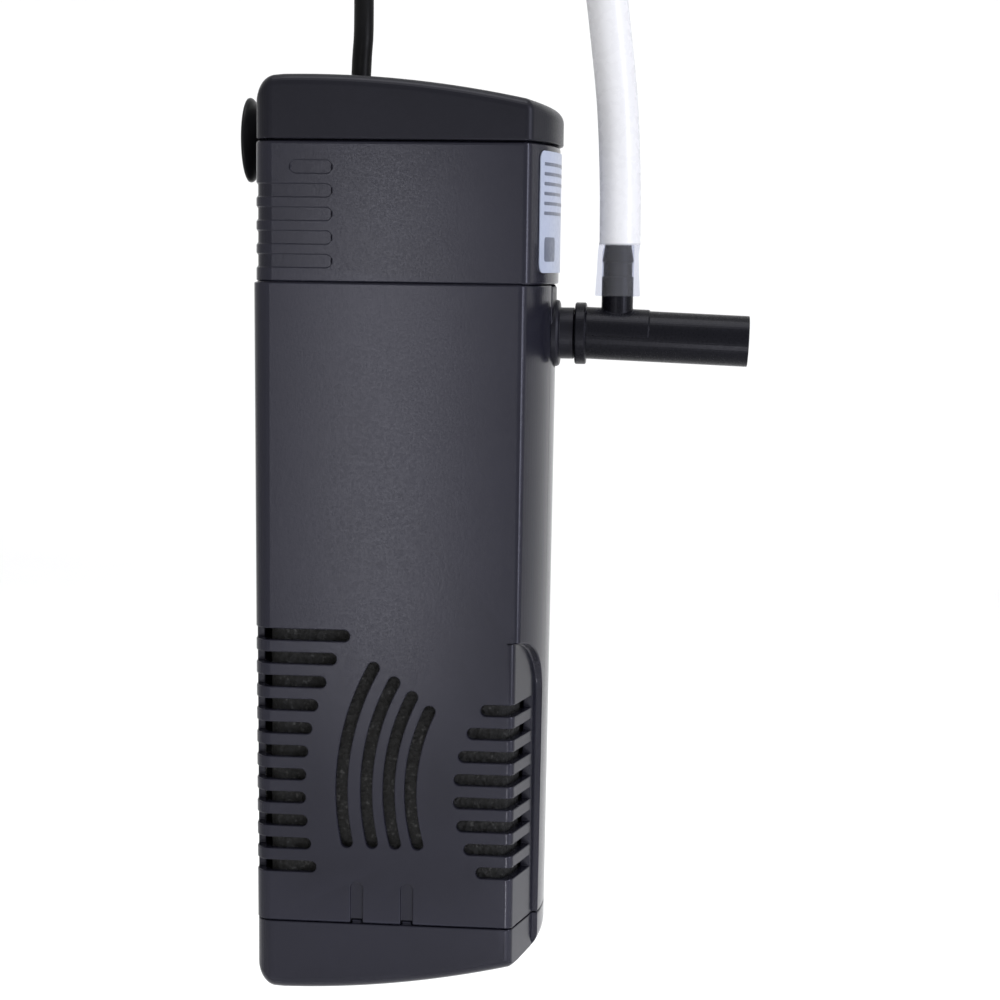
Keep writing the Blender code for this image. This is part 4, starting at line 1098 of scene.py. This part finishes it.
def make_sponge():
    """Cut foam: slightly uneven faces, softened edges, with the core tube's bore through it."""
    plan = {"back": 10.0, "front": 80.4, "half": 24.7}
    rows = [(-208.4, -1.2), (-208.0, -0.4), (-207.0, 0), (-78.5, 0), (-77.5, -0.4), (-77.1, -1.2)]
    sponge = add_mesh("filter_sponge", *loft(levels(plan, rows, 12)))
    carve(sponge, [turned(rod(SPONGE_BORE, -220, -60), MOTOR_AXIS, "Z", 48)])
    even = sponge.modifiers.new("even", "REMESH")
    even.mode = "VOXEL"
    even.voxel_size = 1.8 * MM
    apply_modifiers(sponge)
    for vertex in sponge.data.vertices:
        place = vertex.co * 1000
        lump = noise.noise(place * 0.35) * 0.25 + noise.noise(place * 1.1 + Vector((7, 3, 1))) * 0.22
        vertex.co -= vertex.normal * (0.28 + lump) * MM
    sponge.data.shade_smooth()
    dress(sponge, "foam", "canister", "sponge_foam", "sponge")


# ---- outlet, cup, label


def make_outlet():
    """The pump chamber with the boss and neck that carry the spout."""
    chamber = add_mesh("pump_housing", *turned(rod(CHAMBER_RADIUS, -62.3, -41.7), MOTOR_AXIS, "Z", 72))
    boss = [(0, 56.0), (BOSS_RADIUS, 56.0), (BOSS_RADIUS, BOSS_FACE - 0.8)]
    boss += [(BOSS_RADIUS - 0.25, BOSS_FACE - 0.25), (BOSS_RADIUS - 0.8, BOSS_FACE)]
    boss += [(NECK_RADIUS, BOSS_FACE), (NECK_RADIUS, COLLAR_BACK - GAP), (5.2, COLLAR_BACK - GAP)]
    boss += [(5.2, 101.0), (0, 101.0)]
    room = turned(rod(ROOM_RADIUS, -70, -30), MOTOR_AXIS, "Z", 72)
    bore = turned(rod(OUTLET_BORE, 50, 110), OUTLET, "X", 48)
    carve(chamber, [room, bore], [turned(boss, OUTLET, "X", 64), outlet_apron()])
    soften(chamber, 0.2, 50)
    dress(chamber, "cap", "head", "charcoal", "pump_chamber")


def outlet_apron():
    reach = BOSS_RADIUS - 0.4
    centre = CANISTER["front"] - BULGE_RADIUS
    spread = asin(reach / BULGE_RADIUS)
    outer = arc_points((centre, 0), BULGE_RADIUS, -spread, spread, 12)
    return prism(outer + [(82.2, reach), (82.2, -reach)], OUTLET_Z + 1.3, HEAD_SEAM - 0.8, "Z")


def make_spout():
    """Collar, drooping tube, saddle and air barb in one moulding."""
    half = COLLAR_RADIUS
    collar = [(0, COLLAR_BACK), (half - 0.45, COLLAR_BACK), (half - 0.12, COLLAR_BACK + 0.12)]
    collar += [(half, COLLAR_BACK + 0.45), (half, COLLAR_FRONT - 0.45)]
    collar += [(half - 0.12, COLLAR_FRONT - 0.12), (half - 0.45, COLLAR_FRONT), (0, COLLAR_FRONT)]
    spout = add_mesh("spout_moulding", *turned(collar, OUTLET, "X", 72))
    droop = Matrix.Translation((COLLAR_FRONT, 0, OUTLET_Z)) @ Matrix.Rotation(SPOUT_DROOP, 4, "Y")
    barrel = turned(rod(SPOUT_RADIUS, -2.6, SPOUT_END - COLLAR_FRONT), (0, 0, 0), "X", 72)
    rim = arc_points((0, 0), SADDLE_RADIUS, pi, 0, 40)
    saddle = [(-SADDLE_RADIUS, SADDLE_LOW)] + rim[1:-1] + [(SADDLE_RADIUS, SADDLE_LOW)]
    wide, neck = BARB_RADIUS, BARB_RADIUS - 0.35
    barb = [(0, OUTLET_Z), (wide, OUTLET_Z), (wide, BARB_TOP - 9.0), (neck, BARB_TOP - 8.8)]
    barb += [(neck, BARB_TOP - 5.0), (wide, BARB_TOP - 4.8), (wide - 0.75, BARB_TOP), (0, BARB_TOP)]
    additions = [
        moved(barrel, droop),
        moved(prism(saddle, -0.5, SADDLE_END - COLLAR_FRONT, "X"), droop),
        turned(barb, (BARB_X, 0, 0), "Z", 48),
    ]
    bore = moved(turned(rod(SPOUT_BORE, -20, 60), (0, 0, 0), "X", 64), droop)
    seat = turned(rod(SEAL_SEAT, 80, COLLAR_BACK + 2.0), OUTLET, "X", 64)
    air = turned(rod(AIR_BORE, OUTLET_Z + 2, 0), (BARB_X, 0, 0), "Z", 40)
    carve(spout, [bore, seat, air], additions)
    soften(spout, 0.18, 50)
    dress(spout, "spout", "spout", "dark", "spout_tube")


def make_cup():
    """The suction cup: thin rim, domed back with a soft ridge, neck and retaining button."""
    rim = CUP_RADIUS
    profile = [(0, 3.4), (2.5, 3.2), (5.0, 2.6), (7.0, 1.95), (8.5, 1.2), (9.5, 0.5), (10.1, 0)]
    profile += [(rim - 0.35, 0), (rim - 0.08, 0.15), (rim, 0.5), (rim - 0.1, 0.9), (10.9, 1.5)]
    profile += [(9.9, 2.15), (8.6, 2.9), (7.2, 3.65), (5.8, 4.45), (4.6, 5.1), (3.6, 5.7), (2.9, 6.1)]
    profile += [(CUP_NECK, 6.7), (CUP_NECK, 11.1), (2.7, 11.2), (4.0, 11.2), (4.2, 11.5), (4.0, 12.1)]
    profile += [(3.4, 12.8), (2.2, 13.1), (0, 13.2)]
    cup = add_mesh("suction_disc", *turned(profile, (0, 0, 0), "X", 72))
    finish_mesh(cup, 50)
    dress(cup, "rubber", "head", "black_rubber", "suction_cup")


def on_front(along, height, lift):
    """A point over the head's bulged front, by its distance along the arc."""
    centre = HEAD["front"] - BULGE_RADIUS
    angle = along / BULGE_RADIUS
    radius = BULGE_RADIUS + lift
    return (centre + radius * cos(angle), radius * sin(angle), height)


def front_strip(low, high, bottom, top, inner, outer, corner):
    """A film on the front with rounded corners, from low to high along the arc."""
    steps, corner_steps = 40, 8
    places = [corner * (1 - cos(pi / 2 * k / corner_steps)) for k in range(corner_steps)]
    middle = [low + corner + (high - low - 2 * corner) * k / steps for k in range(steps + 1)]
    rings = []
    for along in [low + p for p in places] + middle + [high - p for p in reversed(places)]:
        reach = max(min(along - low, high - along, corner), 0.0)
        inset = corner - sqrt(max(corner**2 - (corner - reach) ** 2, 0.0))
        inset = min(inset, corner - 0.02)
        low_z, high_z = bottom + inset, top - inset
        corners = ((low_z, inner), (high_z, inner), (high_z, outer), (low_z, outer))
        rings.append([on_front(along, height, lift) for height, lift in corners])
    return loft(rings)


def make_label():
    """A blank film, with plain bars in place of any lettering."""
    half = BULGE_RADIUS * asin(LABEL_HALF / BULGE_RADIUS)
    label = add_mesh("blank_label", *front_strip(-half, half, LABEL_LOW, LABEL_HIGH, 0.12, 0.38, 2.4))
    finish_mesh(label, 40)
    dress(label, "label", "head", "label_film", "rating_label")
    bars = []
    for k, share in enumerate((0.78, 0.62, 0.70, 0.45, 0.66, 0.52)):
        top = LABEL_HIGH - 3.0 - 2.6 * k
        bars.append(front_strip(-half + 2.5, -half + 2.5 + 38 * share, top - 0.9, top, 0.36, 0.42, 0.3))
    patch = (LABEL_LOW + 3.0, LABEL_LOW + 9.5)
    bars.append(front_strip(-half + 3.0, -half + 12.0, *patch, 0.36, 0.42, 1.0))
    marks = add_mesh("label_bars", *merged(*bars))
    dress(marks, "ink", "head", "label_film")


def make_gland():
    """The grommet in the cap's top, flush with it."""
    inside = CORD_DIAMETER / 2 + 0.12
    profile = [(inside, 9.6), (6.4, 9.6), (6.4, 13.0), (4.2, 13.0), (4.2, 15.3), (4.0, 15.6)]
    profile += [(3.4, 15.7), (inside + 0.2, 15.6), (inside, 15.3)]
    gland = add_mesh("lead_grommet", *turned(profile, (CORD_EXIT[0], 0, 0), "Z", 48))
    finish_mesh(gland)
    dress(gland, "rubber", "head", "black_rubber", "cord_gland")


make_cap()
make_head()
make_canister()
make_base()
make_sponge()
make_outlet()
make_spout()
make_cup()
make_label()
make_gland()


# ---- CAD nodes that stay

KEPT = {
    "inner": ("rotor_can", "chamber_cover", "core_tube", "sealing_plate"),
    "ceramic": ("ceramic_shaft",),
    "rubber": ("upper_bush", "lower_bush", "spout_seal"),
    "sheath": ("inner_lead",),
    "white": ("coil_bobbin", "impeller"),
    "ferrite": ("rotor_magnet",),
    "steel": ("stator_core",),
    "copper": ("coil_winding",),
}
for material, nodes in KEPT.items():
    for node in nodes:
        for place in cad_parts[node].material_slots:
            place.material = MATERIALS[material]


# ---- floor and light


def make_floor():
    """A pale sheet that curves up behind the object."""
    floor_z, wide, bend, steps = -420.0, 3500.0, 700.0, 24
    near, far, top = -2500.0, 1800.0, 3200.0
    profile = [(near, floor_z), (far, floor_z)]
    turns = [pi / 2 * k / steps for k in range(1, steps + 1)]
    profile += [(far + bend * sin(a), floor_z + bend * (1 - cos(a))) for a in turns]
    profile.append((far + bend, top))
    points = [(x, y, z) for x in (-wide, wide) for y, z in profile]
    count = len(profile)
    faces = [(k, k + 1, count + k + 1, count + k) for k in range(count - 1)]
    floor = add_mesh("floor", points, faces)
    floor.data.shade_smooth()
    m = Nodes("pale_floor")
    m.colour(m.blend(m.noise(3, 2), (0.91, 0.91, 0.91), (0.94, 0.94, 0.94)))
    m.roughness(m.spread(m.noise(8), 0.7, 0.8))
    floor.data.materials.append(m.made)


def add_light(name, place, target, size, energy, colour=(1, 1, 1)):
    data = bpy.data.lights.new(name, "AREA")
    data.shape = "RECTANGLE"
    data.size, data.size_y = (s * MM for s in size)
    data.energy = energy
    data.color = colour
    light = bpy.data.objects.new(name, data)
    light.visible_camera = False
    bpy.context.scene.collection.objects.link(light)
    light.location = Vector(place) * MM
    aim = Vector(target) - Vector(place)
    light.rotation_euler = aim.to_track_quat("-Z", "Y").to_euler()


def make_light():
    world = bpy.data.worlds.new("studio")
    bpy.context.scene.world = world
    world.use_nodes = True
    sky = world.node_tree.nodes["Background"]
    sky.inputs["Color"].default_value = (1.0, 1.0, 1.0, 1.0)
    sky.inputs["Strength"].default_value = 1.0
    middle = (46, 0, -110)
    add_light("key", (-125, -1175, -215), (40, 0, -70), (70, 620), 1.55)
    add_light("fill", (850, -520, 100), middle, (260, 900), 8.5, (0.87, 0.89, 1.0))
    add_light("top", (100, -200, 1100), middle, (700, 700), 9)
    add_light("low", (165, -500, -395), (125, 0, -55), (90, 180), 1.3)


make_floor()
make_light()
